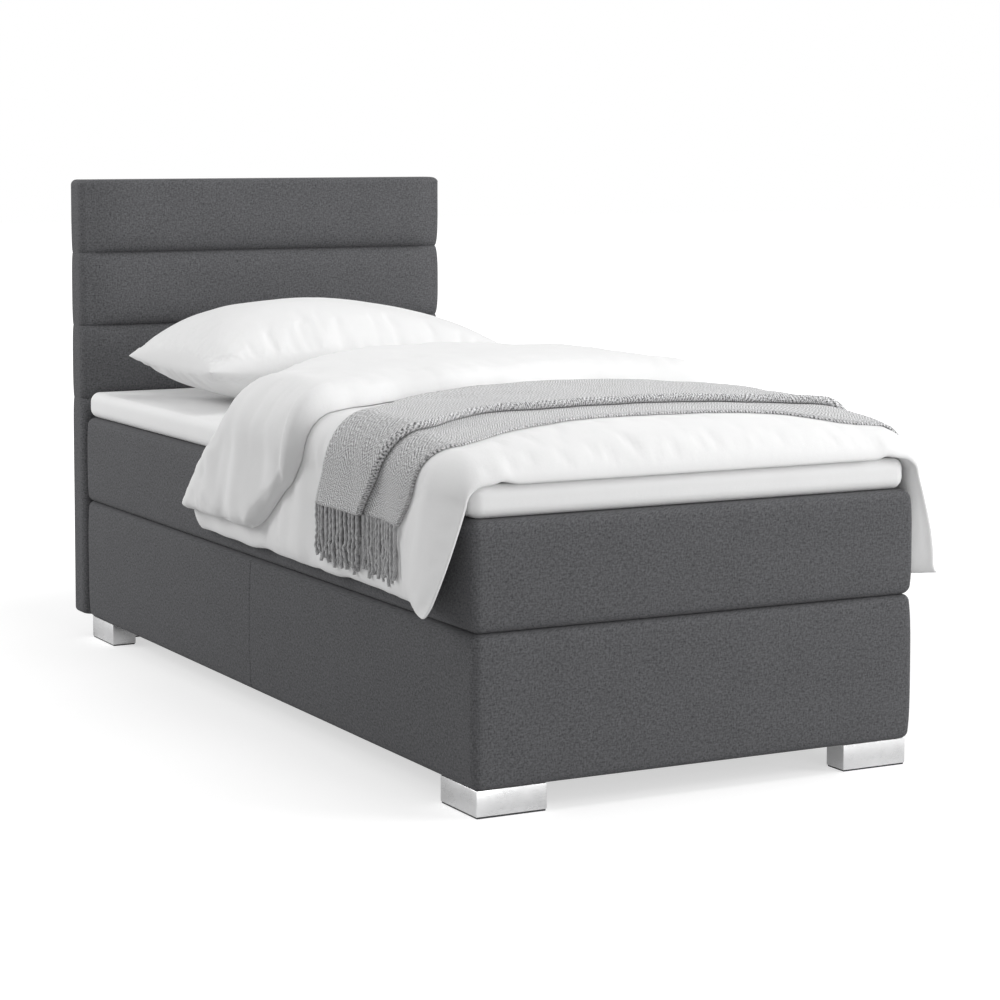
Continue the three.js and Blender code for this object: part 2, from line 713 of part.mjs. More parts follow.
const footEdgeShares = [[-1, 0.034], [-0.95, 0.022], [-0.87, 0.009], [-0.78, 0.002], [-0.68, 0], [-0.4, 0],
  [0.4, 0], [0.68, 0], [0.78, 0.002], [0.87, 0.009], [0.95, 0.022], [1, 0.034]];
const throwHeadShares = [[-0.85, 0.447], [-0.72, 0.399], [-0.62, 0.367], [-0.55, 0.376], [-0.43, 0.437],
  [-0.33, 0.47], [-0.13, 0.508], [0, 0.524], [0.15, 0.515], [0.3, 0.508], [0.45, 0.505], [0.6, 0.47],
  [0.72, 0.445], [0.85, 0.44]];
const throwLayerShares = [[-0.85, 0.297], [-0.73, 0.24], [-0.64, 0.197], [-0.57, 0.192], [-0.47, 0.223],
  [-0.35, 0.243], [-0.2, 0.238], [0, 0.232], [0.25, 0.222], [0.5, 0.206], [0.65, 0.2], [0.85, 0.23]];
const throwFootShares = [[-0.85, 0.175], [-0.76, 0.135], [-0.68, 0.112], [-0.6, 0.086], [-0.54, 0.092],
  [-0.44, 0.118], [-0.3, 0.135], [-0.05, 0.152], [0.15, 0.146], [0.32, 0.131], [0.41, 0.105], [0.48, 0.075],
  [0.56, 0.062], [0.66, 0.066], [0.76, 0.09], [0.85, 0.14]];
const placeAlong = (shares, s) => THREE.MathUtils.lerp(footFace, pillowFront, along(shares, s / duvetHalf));

/** The duvet's thickness without its turned-down part. */
function duvetLift(s, y) {
  const reach = Math.abs(s);
  const dip = footDipDepth * Math.exp(-fromFoot(y) / footDipLength);
  const top = duvetThickness - dip + duvetCrownHeight * (1 - Math.min(reach / flatHalf, 1) ** 2);
  const drop = duvetSideThickness + cornerThickness * cornerShare(y);
  return THREE.MathUtils.lerp(top, drop, THREE.MathUtils.smoothstep(turnShare(reach), 0, 1));
}

// Across: shares of the flat top, of the shoulder's arc, and of the drop. The throw ends on the first
// station of the drop, and the turned-down part between its third and fourth.
const flatShares = [-1, -0.75, -0.5, -0.25, 0, 0.25, 0.5, 0.75, 1];
const shoulderShares = [0.25, 0.5, 0.75, 1];
const dropShares = [0.31, 0.53, 0.74, 0.79, 0.93, 1];
const sideStations = [
  ...shoulderShares.map((share) => flatHalf + share * shoulderArc),
  ...dropShares.map((share) => shoulderEnd + share * duvetSideLength),
];
const stations = [
  ...sideStations.map((s) => -s).reverse(),
  ...flatShares.map((share) => share * flatHalf),
  ...sideStations,
];
const throwEnd = shoulderEnd + dropShares[0] * duvetSideLength;
const flapEnd = shoulderEnd + (dropShares[2] + dropShares[3]) / 2 * duvetSideLength;

/** The thickness that the turned-down part adds, which ends a little above the duvet's own hem. */
function flapLift(s) {
  const reach = Math.abs(s);
  if (reach > flapEnd) return 0;
  const turned = THREE.MathUtils.smoothstep(turnShare(reach), 0, 1);
  return THREE.MathUtils.lerp(flapThickness, flapSideThickness, turned);
}

/** The share of full thickness that a rounded edge has at a distance in from its rim. */
const fullness = (distance, reach) => 1 - standBack(distance, reach) / reach;

// Along: which line a row follows, how far from it in duvet edges, and how much of the flap it carries
const rowPlan = [
  { line: 'foot', edges: 0, flapShare: 0 },
  { line: 'foot', edges: 0.1, flapShare: 0 },
  { line: 'foot', edges: 0.4, flapShare: 0 },
  { line: 'foot', edges: 1, flapShare: 0 },
  { line: 'throwFoot', edges: 0, flapShare: 0 },
  { line: 'throwLayer', edges: 0, flapShare: 0 },
  { line: 'throwHead', edges: 0, flapShare: 0 },
  { line: 'hem', edges: 0, flapShare: 0 },
  { line: 'hem', edges: 0.03, flapShare: 0.35 },
  { line: 'hem', edges: 0.2, flapShare: 0.75 },
  { line: 'hem', edges: 0.7, flapShare: 1 },
  { line: 'flapMiddle', edges: 0, flapShare: 1 },
  { line: 'fold', edges: -1, flapShare: 1 },
  { line: 'fold', edges: -0.55, flapShare: 1 },
  { line: 'fold', edges: -0.22, flapShare: 1 },
  { line: 'fold', edges: -0.05, flapShare: 1 },
  { line: 'fold', edges: 0, flapShare: 1 },
];

/** Where each line of the duvet is, at arc length s. */
function lineAt(line, s) {
  const hem = placeAlong(flapHemShares, s);
  const fold = placeAlong(foldShares, s);
  return {
    foot: placeAlong(footEdgeShares, s) + footLapLength,
    throwFoot: placeAlong(throwFootShares, s),
    throwLayer: placeAlong(throwLayerShares, s),
    throwHead: placeAlong(throwHeadShares, s),
    hem,
    flapMiddle: (hem + fold) / 2,
    fold,
  }[line];
}

/** The duvet's upper and lower surfaces: its rim is sewn flat, and its head end rolls over into the flap. */
function duvetSurfaces() {
  const outer = [];
  const inner = [];
  for (const row of rowPlan) {
    const [outerRow, innerRow] = [[], []];
    const ends = row.line === 'foot' || row.line === 'fold';
    const end = ends ? fullness(Math.abs(row.edges), 1) : 1;
    for (const s of stations) {
      const y = lineAt(row.line, s) + row.edges * duvetEdgeRadius;
      const total = duvetLift(s, y) + flapLift(s) * row.flapShare;
      const side = fullness(duvetHalf - Math.abs(s), duvetSideThickness);
      const full = THREE.MathUtils.lerp(duvetRimThickness, total, side);
      const thickness = THREE.MathUtils.lerp(duvetRimThickness, full, end);
      const low = (total - full) / 2 + (row.line === 'fold' ? (full - thickness) / 2 : 0);
      outerRow.push(draped(s, y, low + thickness));
      innerRow.push(draped(s, y, low));
    }
    outer.push(outerRow);
    inner.push(innerRow);
  }
  return [outer, inner];
}

/** A point of the throw, some way from one line of the duvet to another, at a height over the duvet. */
function throwPoint(s, { from, to, share }, height) {
  const point = (line) => {
    const y = lineAt(line, s);
    return draped(s, y, duvetLift(s, y) + throwGap + height);
  };
  return point(from).lerp(point(to), share);
}

// The throw is folded once along its length, so its head side has two layers, with a roll at the fold
const footBand = { from: 'throwFoot', to: 'throwLayer' };
const headBand = { from: 'throwLayer', to: 'throwHead' };
const throwRows = [
  { ...footBand, share: 0, layers: 0.7 },
  { ...footBand, share: 0.08, layers: 1 },
  { ...footBand, share: 0.95, layers: 1 },
  { ...footBand, share: 1, layers: 2.2 },
  { ...headBand, share: 0.06, layers: 2.7 },
  { ...headBand, share: 0.2, layers: 2 },
  { ...headBand, share: 0.94, layers: 2 },
  { ...headBand, share: 1, layers: 1.4 },
];

function throwSolid() {
  const columns = stations.filter((s) => Math.abs(s) <= throwEnd + seat);
  const surface = (heightOf) => throwRows.map((row) => columns.map((s) => throwPoint(s, row, heightOf(row))));
  let solid = solidOf(skin(surface(({ layers }) => layers * throwThickness), surface(() => 0)));
  for (const side of [-1, 1]) {
    for (const band of [footBand, headBand]) {
      for (let i = 0; i < tasselCount; i++) {
        solid = solid.add(tassel(side, band, i));
      }
    }
  }
  return solid;
}

// A tassel's sections: how far down it they are, their widths and their sideways sway
const tasselSections = [
  { placeShare: 0, widthShare: 1, swayShare: 0 },
  { placeShare: 0.5, widthShare: 1.15, swayShare: 1 },
  { placeShare: 1, widthShare: 0.55, swayShare: 0.4 },
];
const tasselHeightShares = [0.9, 0.1];
const swayTurnShare = 0.09;

/** One bunch of the throw's fringe: a strand that hangs from its end and tapers to its tip. */
function tassel(side, band, i) {
  const span = Math.abs(lineAt(band.to, side * throwEnd) - lineAt(band.from, side * throwEnd));
  const start = throwEnd - tasselWidth / 2;
  const sway = tasselSwayWidth * Math.sin(i * swayTurnShare * 2 * Math.PI * side);
  const surface = (heightShare) => tasselSections.map(({ placeShare, widthShare, swayShare }) => {
    const s = side * (start + placeShare * (tasselLength + tasselWidth / 2));
    const middle = (i + 0.5) / tasselCount + swayShare * sway / span;
    const half = widthShare * tasselWidth / 2 / span;
    return [middle - half, middle + half].map((share) =>
      throwPoint(s, { ...band, share }, heightShare * throwThickness));
  });
  return solidOf(skin(...tasselHeightShares.map(surface)));
}

const pillowGrid = [18, 14];
const pillowFill = { tiltShare: 0.19, pullShare: 0.06, acrossShare: 1.84, alongShare: 2.46, fullShare: 0.48 };

/** A filled pillow: crowned above and below its seam, fuller on the left, and drawn in between its ears. */
function pillowShape() {
  const [halfWidth, halfDepth] = [pillowWidth / 2, pillowDepth / 2];
  const middle = pillowFront + halfDepth;
  const seam = restLevel + pillowSinkDepth;
  const spread = (i, count) => Math.sin((i / count - 1 / 2) * Math.PI);
  const above = [];
  const below = [];
  for (let j = 0; j <= pillowGrid[1]; j++) {
    const [aboveRow, belowRow] = [[], []];
    for (let i = 0; i <= pillowGrid[0]; i++) {
      const [u, v] = [spread(i, pillowGrid[0]), spread(j, pillowGrid[1])];
      const x = -pillowOffsetWidth + halfWidth * u * (1 - pillowFill.pullShare * (1 - v ** 2) * u ** 2);
      const y = middle + halfDepth * v * (1 - pillowFill.pullShare * (1 - u ** 2) * v ** 2);
      const dome = Math.max((1 - Math.abs(u) ** pillowFill.acrossShare)
        * (1 - Math.abs(v) ** pillowFill.alongShare), 0) ** pillowFill.fullShare;
      const rise = pillowRiseHeight * (1 - pillowFill.tiltShare * u) * dome;
      const sink = pillowSinkDepth * dome;
      aboveRow.push(new THREE.Vector3(x, y, seam + rise));
      belowRow.push(new THREE.Vector3(x, y, Math.max(seam - sink, restLevel)));
    }
    above.push(aboveRow);
    below.push(belowRow);
  }
  return skin(above, below);
}

function addBedding() {
  add('duvet', skin(...duvetSurfaces()), 'linen');
  add('throw', throwSolid(), 'throwWeave');
  add('pillow', pillowShape(), 'linen');
}

addBaseFrame();
addBaseUpholstery();
addFeet();
addMattress();
addTopper();
addHeadboard();
addBedding();

export default bed;
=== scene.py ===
"""A single box spring bed with its bedding, dressed for a studio picture.

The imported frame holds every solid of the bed. This script makes what shows over those solids: the fitted
covers, the topper, the pillow, the duvet with its turned-down head end, the fringed throw and the linings. It
dresses the timber and metal parts, and sets the camera, the lamps and the floor. Lengths are in metres, +Z is
up and the head end is at +Y.
"""

from __future__ import annotations

import json
import logging
import math
from collections.abc import Callable, Sequence
from dataclasses import dataclass
from enum import Enum

import bmesh
import bpy
import numpy as np
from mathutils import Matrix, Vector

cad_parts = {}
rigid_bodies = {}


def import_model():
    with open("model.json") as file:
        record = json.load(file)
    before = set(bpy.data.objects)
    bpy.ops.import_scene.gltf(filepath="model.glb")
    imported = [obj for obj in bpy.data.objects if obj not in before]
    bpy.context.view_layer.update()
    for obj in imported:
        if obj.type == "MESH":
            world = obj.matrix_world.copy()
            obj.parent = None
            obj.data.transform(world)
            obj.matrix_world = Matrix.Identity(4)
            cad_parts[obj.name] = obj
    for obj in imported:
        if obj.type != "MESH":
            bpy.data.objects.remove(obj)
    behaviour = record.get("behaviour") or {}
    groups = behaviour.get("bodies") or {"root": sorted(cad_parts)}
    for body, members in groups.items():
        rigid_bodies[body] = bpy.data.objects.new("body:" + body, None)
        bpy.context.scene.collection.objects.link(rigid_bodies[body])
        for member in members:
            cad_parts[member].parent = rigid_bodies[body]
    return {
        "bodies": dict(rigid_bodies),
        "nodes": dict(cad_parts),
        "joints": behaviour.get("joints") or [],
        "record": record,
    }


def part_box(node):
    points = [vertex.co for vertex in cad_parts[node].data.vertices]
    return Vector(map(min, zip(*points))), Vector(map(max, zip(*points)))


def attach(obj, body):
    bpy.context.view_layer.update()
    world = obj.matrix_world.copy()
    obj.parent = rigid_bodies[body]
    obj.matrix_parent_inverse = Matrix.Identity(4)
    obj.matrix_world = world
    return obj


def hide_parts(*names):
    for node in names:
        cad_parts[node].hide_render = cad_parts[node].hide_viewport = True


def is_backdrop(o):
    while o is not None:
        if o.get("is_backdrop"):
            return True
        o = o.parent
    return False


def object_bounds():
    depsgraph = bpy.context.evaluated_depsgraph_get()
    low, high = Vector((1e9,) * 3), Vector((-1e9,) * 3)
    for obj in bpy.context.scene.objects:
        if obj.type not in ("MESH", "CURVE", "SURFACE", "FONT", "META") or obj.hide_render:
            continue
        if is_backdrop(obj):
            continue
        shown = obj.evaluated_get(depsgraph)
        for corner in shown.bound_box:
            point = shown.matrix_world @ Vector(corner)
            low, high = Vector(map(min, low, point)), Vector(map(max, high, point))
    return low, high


LOG = logging.getLogger("bed")
BODY = "root"
CLOTH_MAP = "cloth"
HELD_SHARE = "held_share"
QUARTER = math.pi / 2
LEAST_LENGTH = 1e-9

Array = np.ndarray
Colour = tuple[float, float, float]
Material = bpy.types.Material
Node = bpy.types.Node
Piece = bpy.types.Object
Socket = bpy.types.NodeSocket
Stops = tuple[tuple[float, float], ...]


class Slot(Enum):
    """The record's material slots."""

    UPHOLSTERY = "upholstery"
    TOPPER = "topper_cloth"
    LINEN = "linen"
    THROW = "throw_weave"
    METAL = "satin_metal"
    GLIDE = "glide"
    STEEL = "bolt_steel"
    TIMBER = "timber"
    BOARD = "board"
    FOAM = "foam"
    FELT = "felt"
    POCKET = "pocket_cloth"
    LINING = "lining"


class Held(Enum):
    """How a sheet of cloth is held."""

    LAID = "laid"
    DRAPED = "draped"
    STRETCHED = "stretched"


class Grain(Enum):
    """The axis that a board's grain follows."""

    ACROSS = 0
    ALONG = 1
    UPRIGHT = 2


class NodeSketch:
    """Adds nodes to one node tree and joins them."""

    def __init__(self, tree: bpy.types.NodeTree) -> None:
        """Keeps the tree that the nodes go into."""
        self.tree = tree

    def feed(self, node: Node, inputs: dict[str | int, object]) -> None:
        """Links sockets to a node's inputs, or sets the inputs' own values.

        Args:
            node: The node that receives them.
            inputs: Sockets or plain values, by the names or indices of the inputs.
        """
        for name, value in inputs.items():
            if isinstance(value, Socket):
                self.tree.links.new(value, node.inputs[name])
            else:
                node.inputs[name].default_value = value

    def add(self, kind: str, inputs: dict[str | int, object] | None = None, **settings: object) -> Node:
        """Adds one node.

        Args:
            kind: The node's Blender type.
            inputs: Values or sockets for its inputs.
            **settings: The node's own properties.

        Returns:
            The new node.
        """
        node = self.tree.nodes.new(kind)
        for key, value in settings.items():
            setattr(node, key, value)
        self.feed(node, inputs or {})
        return node

    def maths(self, operation: str, *values: object) -> Socket:
        """Adds a Math node and returns its result."""
        return self.add("ShaderNodeMath", dict(enumerate(values)), operation=operation).outputs[0]

    def weighted(self, *parts: tuple[object, float]) -> Socket:
        """Adds several values up, each times its weight.

        Args:
            *parts: The values' sockets with their weights.

        Returns:
            The sum's socket.
        """
        total, *others = (self.maths("MULTIPLY", value, weight) for value, weight in parts)
        for other in others:
            total = self.maths("ADD", total, other)
        return total

    def wave(self, value: object, turns: float) -> Socket:
        """Returns the sine of a value times a factor."""
        return self.maths("SINE", self.maths("MULTIPLY", value, turns))

    def split(self, vector: object) -> bpy.types.NodeOutputs:
        """Returns the sockets of a vector's three parts."""
        return self.add("ShaderNodeSeparateXYZ", {0: vector}).outputs

    def joined(self, *parts: object) -> Socket:
        """Returns the vector of three parts."""
        return self.add("ShaderNodeCombineXYZ", dict(enumerate(parts))).outputs[0]

    def ranged(self, value: object, low: float, high: float, to_low: float = 0.0, to_high: float = 1.0) -> Socket:
        """Maps a value from one range to another."""
        inputs = {0: value, 1: low, 2: high, 3: to_low, 4: to_high}
        return self.add("ShaderNodeMapRange", inputs).outputs[0]

    def ramp(self, value: object, stops: Sequence[tuple[float, Colour]]) -> Socket:
        """Turns a value into a colour.

        Args:
            value: The socket that picks the colour.
            stops: Places from 0 to 1, each with its colour.

        Returns:
            The colour's socket.
        """
        node = self.add("ShaderNodeValToRGB", {0: value})
        elements = node.color_ramp.elements
        while len(elements) < len(stops):
            elements.new(1.0)
        for element, (place, colour) in zip(elements, stops):
            element.position = place
            element.color = (*colour, 1.0)
        return node.outputs[0]

    def scaled(self, vector: object, *scale: float) -> Socket:
        """Scales a coordinate along each axis."""
        return self.add("ShaderNodeMapping", {"Vector": vector, "Scale": scale}).outputs[0]

    def noise(self, vector: object, scale: float = 1.0, detail: float = 3.0, roughness: float = 0.6) -> Socket:
        """Adds a noise texture and returns its value."""
        inputs = {"Vector": vector, "Scale": scale, "Detail": detail, "Roughness": roughness}
        return self.add("ShaderNodeTexNoise", inputs).outputs[0]

    def bump(self, shader: Node, height: object, distance: float, strength: float) -> None:
        """Feeds a height to the shader's normal, on top of any bump that is there.

        Args:
            shader: The shader that gets the bump.
            height: The height's socket, from 0 to 1.
            distance: The depth of the relief in metres.
            strength: How much of it shows.
        """
        inputs = {"Height": height, "Distance": distance, "Strength": strength}
        if shader.inputs["Normal"].is_linked:
            inputs["Normal"] = shader.inputs["Normal"].links[0].from_socket
        self.feed(shader, {"Normal": self.add("ShaderNodeBump", inputs).outputs[0]})

    def object_place(self) -> Socket:
        """Returns the socket of the piece's own coordinates, in metres."""
        return self.add("ShaderNodeTexCoord").outputs["Object"]

    def cloth_place(self) -> Socket:
        """Returns the socket of the cloth's own coordinates, in metres along its threads."""
        return self.add("ShaderNodeUVMap", uv_map=CLOTH_MAP).outputs["UV"]


class TreeSketch(NodeSketch):
    """A geometry node tree with named sizes, which ends in real geometry with a material."""

    def __init__(self, name: str, sizes: dict[str, float]) -> None:
        """Opens the tree.

        Args:
            name: The tree's name.
            sizes: Its inputs, each with its value.
        """
        super().__init__(bpy.data.node_groups.new(name, "GeometryNodeTree"))
        face = self.tree.interface
        face.new_socket("Geometry", in_out="INPUT", socket_type="NodeSocketGeometry")
        for size, value in sizes.items():
            face.new_socket(size, in_out="INPUT", socket_type="NodeSocketFloat").default_value = value
        face.new_socket("Geometry", in_out="OUTPUT", socket_type="NodeSocketGeometry")
        self.start = self.add("NodeGroupInput").outputs

    def finish(self, geometry: object, material: Material) -> bpy.types.NodeTree:
        """Makes the geometry real and smooth, dresses it and ends the tree.

        Args:
            geometry: The geometry's socket.
            material: The material that it gets.

        Returns:
            The node tree.
        """
        real = self.add("GeometryNodeRealizeInstances", {"Geometry": geometry}).outputs[0]
        smooth = self.add("GeometryNodeSetShadeSmooth", {0: real}).outputs[0]
        done = self.add("GeometryNodeSetMaterial", {"Geometry": smooth, "Material": material}).outputs[0]
        self.add("NodeGroupOutput", {"Geometry": done})
        return self.tree


@dataclass(frozen=True)
class Finish:
    """A finish that builds one material; its subclasses give the pattern.

    The stops are places on the pattern's tone, from 0 to 1, each with a share of the shade.
    """

    name: str
    shade: Colour
    roughness: float = 0.9
    stops: Stops = ((0.0, 1.0), (1.0, 1.0))
    relief: float = 0.0
    relief_share: float = 1.0
    sheen: float = 0.0
    sheen_roughness: float = 0.5
    specular: float = 0.5
    metallic: float = 0.0

    def build(self) -> Material:
        """Makes the material, with its shader's plain values set on the shader itself.

        Returns:
            The finished material.
        """
        material = bpy.data.materials.new(self.name)
        material.use_nodes = True
        sketch = NodeSketch(material.node_tree)
        shader = material.node_tree.nodes["Principled BSDF"]
        sketch.feed(shader, {
            "Base Color": (*self.shade, 1.0), "Roughness": self.roughness, "Metallic": self.metallic,
            "Sheen Weight": self.sheen, "Sheen Roughness": self.sheen_roughness, "Specular IOR Level": self.specular})
        self.prepare(sketch, shader)
        tone, height = self.pattern(sketch)
        tones = [(place, tuple(min(channel * share, 1.0) for channel in self.shade)) for place, share in self.stops]
        sketch.feed(shader, {"Base Color": sketch.ramp(tone, tones), "Roughness": self.worn(sketch, tone, height)})
        sketch.bump(shader, height, self.relief, self.relief_share)
        return material

    def prepare(self, sketch: NodeSketch, shader: Node) -> None:
        """Adds what lies under the pattern; most finishes have nothing there."""

    def pattern(self, sketch: NodeSketch) -> tuple[Socket, Socket]:
        """Draws the pattern and returns its tone and its height."""
        raise NotImplementedError

    def worn(self, sketch: NodeSketch, tone: Socket, height: Socket) -> float | Socket:
        """Returns the roughness over the pattern; most finishes have an even one."""
        return self.roughness


@dataclass(frozen=True)
class MelangeCloth(Finish):
    """Heavy woven upholstery in mixed yarns, with slubs along the warp and the weft."""

    thread: float = 0.0026
    slub: float = 0.010
    stops: Stops = ((0.0, 0.48), (0.5, 1.0), (1.0, 1.52))
    relief: float = 0.0005
    relief_share: float = 0.3
    sheen: float = 0.04
    sheen_roughness: float = 0.45
    specular: float = 0.2

    def pattern(self, sketch: NodeSketch) -> tuple[Socket, Socket]:
        """Mixes light and dark yarns on the cloth's threads and raises the weave."""
        place = sketch.cloth_place()
        fine, long = 1 / self.thread, 1 / self.slub
        warp = sketch.noise(sketch.scaled(place, fine, long, 1.0), roughness=0.65)
        weft = sketch.noise(sketch.scaled(place, long, fine, 1.0), roughness=0.65)
        fleck = sketch.noise(sketch.scaled(place, fine * 0.62, fine * 0.62, 1.0), detail=2.0, roughness=0.5)
        clouds = sketch.maths("ADD", sketch.noise(place, 14.0, roughness=0.55), sketch.noise(place, 130.0, detail=2.0))
        mixed = sketch.weighted((sketch.maths("ADD", warp, weft), 0.3), (fleck, 0.34), (clouds, 0.045))
        parts = sketch.split(place)
        weave = sketch.maths("MULTIPLY", *(sketch.wave(parts[axis], 2 * math.pi / self.thread) for axis in (0, 1)))
        return sketch.ranged(mixed, 0.36, 0.6), sketch.maths("ADD", sketch.maths("MULTIPLY", weave, 0.25), mixed)


@dataclass(frozen=True)
class PlainWeave(Finish):
    """Smooth bed linen or cover cloth in a fine plain weave."""

    thread: float = 0.0006
    crumple: float = 0.35
    crease_depth: float = 0.0035
    stops: Stops = ((0.3, 0.985), (0.7, 1.0))
    relief: float = 0.0001
    relief_share: float = 0.25
    sheen: float = 0.12
    specular: float = 0.25

    def prepare(self, sketch: NodeSketch, shader: Node) -> None:
        """Adds soft creases under the weave."""
        place = sketch.scaled(sketch.object_place(), 22.0, 14.0, 16.0)
        sketch.bump(shader, sketch.noise(place, detail=4.0, roughness=0.55), self.crease_depth, self.crumple)

    def pattern(self, sketch: NodeSketch) -> tuple[Socket, Socket]:
        """Adds a trace of shade and the fine weave."""
        place = sketch.object_place()
        x, y, z = sketch.split(place)
        runs = (sketch.maths("ADD", x, z), sketch.maths("MULTIPLY_ADD", z, 0.37, y))
        weave = sketch.maths("MULTIPLY", *(sketch.wave(run, math.pi / self.thread) for run in runs))
        return sketch.noise(place, 9.0, roughness=0.5), weave


@dataclass(frozen=True)
class HerringboneWool(Finish):
    """Soft wool in a herringbone: columns of slanted yarns whose slant turns at each column's edge."""

    column: float = 0.026
    pitch: float = 0.0058
    slope: float = 0.6
    wander: float = 0.0012
    stops: Stops = ((0.0, 0.2), (0.5, 1.0), (0.95, 1.56))
    relief: float = 0.0014
    relief_share: float = 0.7
    sheen: float = 0.3
    specular: float = 0.15

    def pattern(self, sketch: NodeSketch) -> tuple[Socket, Socket]:
        """Draws the slanted yarns on the cloth's own coordinates and raises them."""
        place = sketch.cloth_place()
        across, along, _ = sketch.split(place)
        drift = sketch.noise(place, 60.0, detail=2.0, roughness=0.5)
        wander = sketch.ranged(drift, 0.0, 1.0, -self.wander, self.wander)
        zigzag = sketch.maths("PINGPONG", across, self.column)
        slanted = sketch.maths("ADD", sketch.maths("ADD", along, wander), sketch.maths("MULTIPLY", zigzag, self.slope))
        yarns = sketch.wave(slanted, 2 * math.pi / self.pitch)
        crossing = sketch.wave(across, 2 * math.pi / (0.8 * self.pitch))
        woven = sketch.maths("MULTIPLY", yarns, sketch.maths("MULTIPLY_ADD", crossing, 0.45, 0.55))
        fibres = (sketch.noise(sketch.scaled(place, *scale), detail=2.0)
                  for scale in ((300.0, 420.0, 1.0), (560.0, 280.0, 1.0)))
        mixed = sketch.weighted((woven, 0.1), (sketch.maths("ADD", *fibres), 0.5))
        return sketch.ranged(mixed, 0.4, 0.6), mixed


@dataclass(frozen=True)
class WoolStrand(Finish):
    """Twisted wool yarn, as on a fringe."""

    stops: Stops = ((0.3, 0.6), (0.5, 1.0), (0.72, 1.35))
    relief: float = 0.0008
    relief_share: float = 0.6
    sheen: float = 0.3
    specular: float = 0.15

    def pattern(self, sketch: NodeSketch) -> tuple[Socket, Socket]:
        """Adds fibres along the strands and a lighter fuzz."""
        fibre = sketch.noise(sketch.scaled(sketch.object_place(), 900.0, 900.0, 160.0), roughness=0.7)
        return fibre, fibre


@dataclass(frozen=True)
class BrushedMetal(Finish):
    """Metal with a fine brushed grain along one direction."""

    scale: tuple[float, float, float] = (60.0, 60.0, 2200.0)
    stops: Stops = ((0.3, 0.95), (0.7, 1.0))
    relief: float = 0.00008
    relief_share: float = 0.35
    metallic: float = 1.0

    def pattern(self, sketch: NodeSketch) -> tuple[Socket, Socket]:
        """Adds faint handling marks and the brushed grain."""
        place = sketch.object_place()
        return sketch.noise(place, 30.0, detail=4.0), sketch.noise(sketch.scaled(place, *self.scale))

    def worn(self, sketch: NodeSketch, tone: Socket, height: Socket) -> float | Socket:
        """Returns a roughness that follows the grain and the marks."""
        marks = sketch.ranged(tone, 0.3, 0.7, self.roughness - 0.03, self.roughness + 0.05)
        return sketch.maths("ADD", sketch.ranged(height, 0.3, 0.7, -0.05, 0.05), marks)


@dataclass(frozen=True)
class MouldedPlastic(Finish):
    """Dark moulded plastic with a fine spark-eroded texture."""

    stops: Stops = ((0.35, 1.0), (0.8, 1.6))
    relief: float = 0.0001
    relief_share: float = 0.4

    def pattern(self, sketch: NodeSketch) -> tuple[Socket, Socket]:
        """Adds scuffs and the moulded texture."""
        place = sketch.object_place()
        return sketch.noise(place, 70.0, detail=4.0, roughness=0.7), sketch.noise(place, 1600.0, detail=2.0)

    def worn(self, sketch: NodeSketch, tone: Socket, height: Socket) -> float | Socket:
        """Returns a roughness that follows the scuffs."""
        return sketch.ranged(tone, 0.3, 0.7, self.roughness - 0.1, self.roughness + 0.12)


@dataclass(frozen=True)
class SawnTimber(Finish):
    """Planed softwood with its growth rings drawn out along the grain."""

    grain: Grain = Grain.ALONG
    rings: float = 16.0
    stops: Stops = ((0.15, 1.12), (0.55, 1.0), (0.9, 0.62))
    relief: float = 0.0003
    relief_share: float = 0.4

    def drawn(self, sketch: NodeSketch, plain: float, along: float) -> Socket:
        """Returns the piece's coordinates with one scale across the grain and another one along it."""
        scale = (along if axis == self.grain.value else plain for axis in range(3))
        return sketch.scaled(sketch.object_place(), *scale)

    def pattern(self, sketch: NodeSketch) -> tuple[Socket, Socket]:
        """Draws rings, pores and a trace of saw marks."""
        bend = sketch.noise(self.drawn(sketch, 1.0, 0.06), 9.0, roughness=0.5)
        rings = sketch.maths("FRACT", sketch.maths("MULTIPLY", bend, self.rings))
        mixed = sketch.weighted((rings, 0.6), (sketch.noise(self.drawn(sketch, 700.0, 14.0), detail=2.0), 0.4))
        return mixed, mixed


@dataclass(frozen=True)
class ChipBoard(Finish):
    """Pressed board of fine chips."""

    stops: Stops = ((0.0, 0.7), (0.5, 1.0), (1.0, 1.25))
    relief: float = 0.0004
    relief_share: float = 0.5

    def pattern(self, sketch: NodeSketch) -> tuple[Socket, Socket]:
        """Scatters the chips."""
        place = sketch.scaled(sketch.object_place(), 260.0, 260.0, 140.0)
        cells = sketch.add("ShaderNodeTexVoronoi", {"Vector": place, "Scale": 1.0}).outputs
        return sketch.add("ShaderNodeSeparateColor", {0: cells["Color"]}).outputs[0], cells["Distance"]


@dataclass(frozen=True)
class OpenFoam(Finish):
    """Cut foam with open cells."""

    stops: Stops = ((0.1, 0.8), (0.5, 1.0), (0.9, 1.06))
    relief: float = 0.0006
    relief_share: float = 0.6

    def pattern(self, sketch: NodeSketch) -> tuple[Socket, Socket]:
        """Pits the surface with cells and paints the pits darker, as painted shade in the open cells."""
        place = sketch.object_place()
        cells = sketch.add("ShaderNodeTexVoronoi", {"Vector": place, "Scale": 520.0}).outputs["Distance"]
        # The tone follows the cells too: the pits are painted darker as painted shade, and the noise adds a random
        # tone.
        return sketch.weighted((cells, 0.6), (sketch.noise(place, 12.0, roughness=0.5), 0.4)), cells


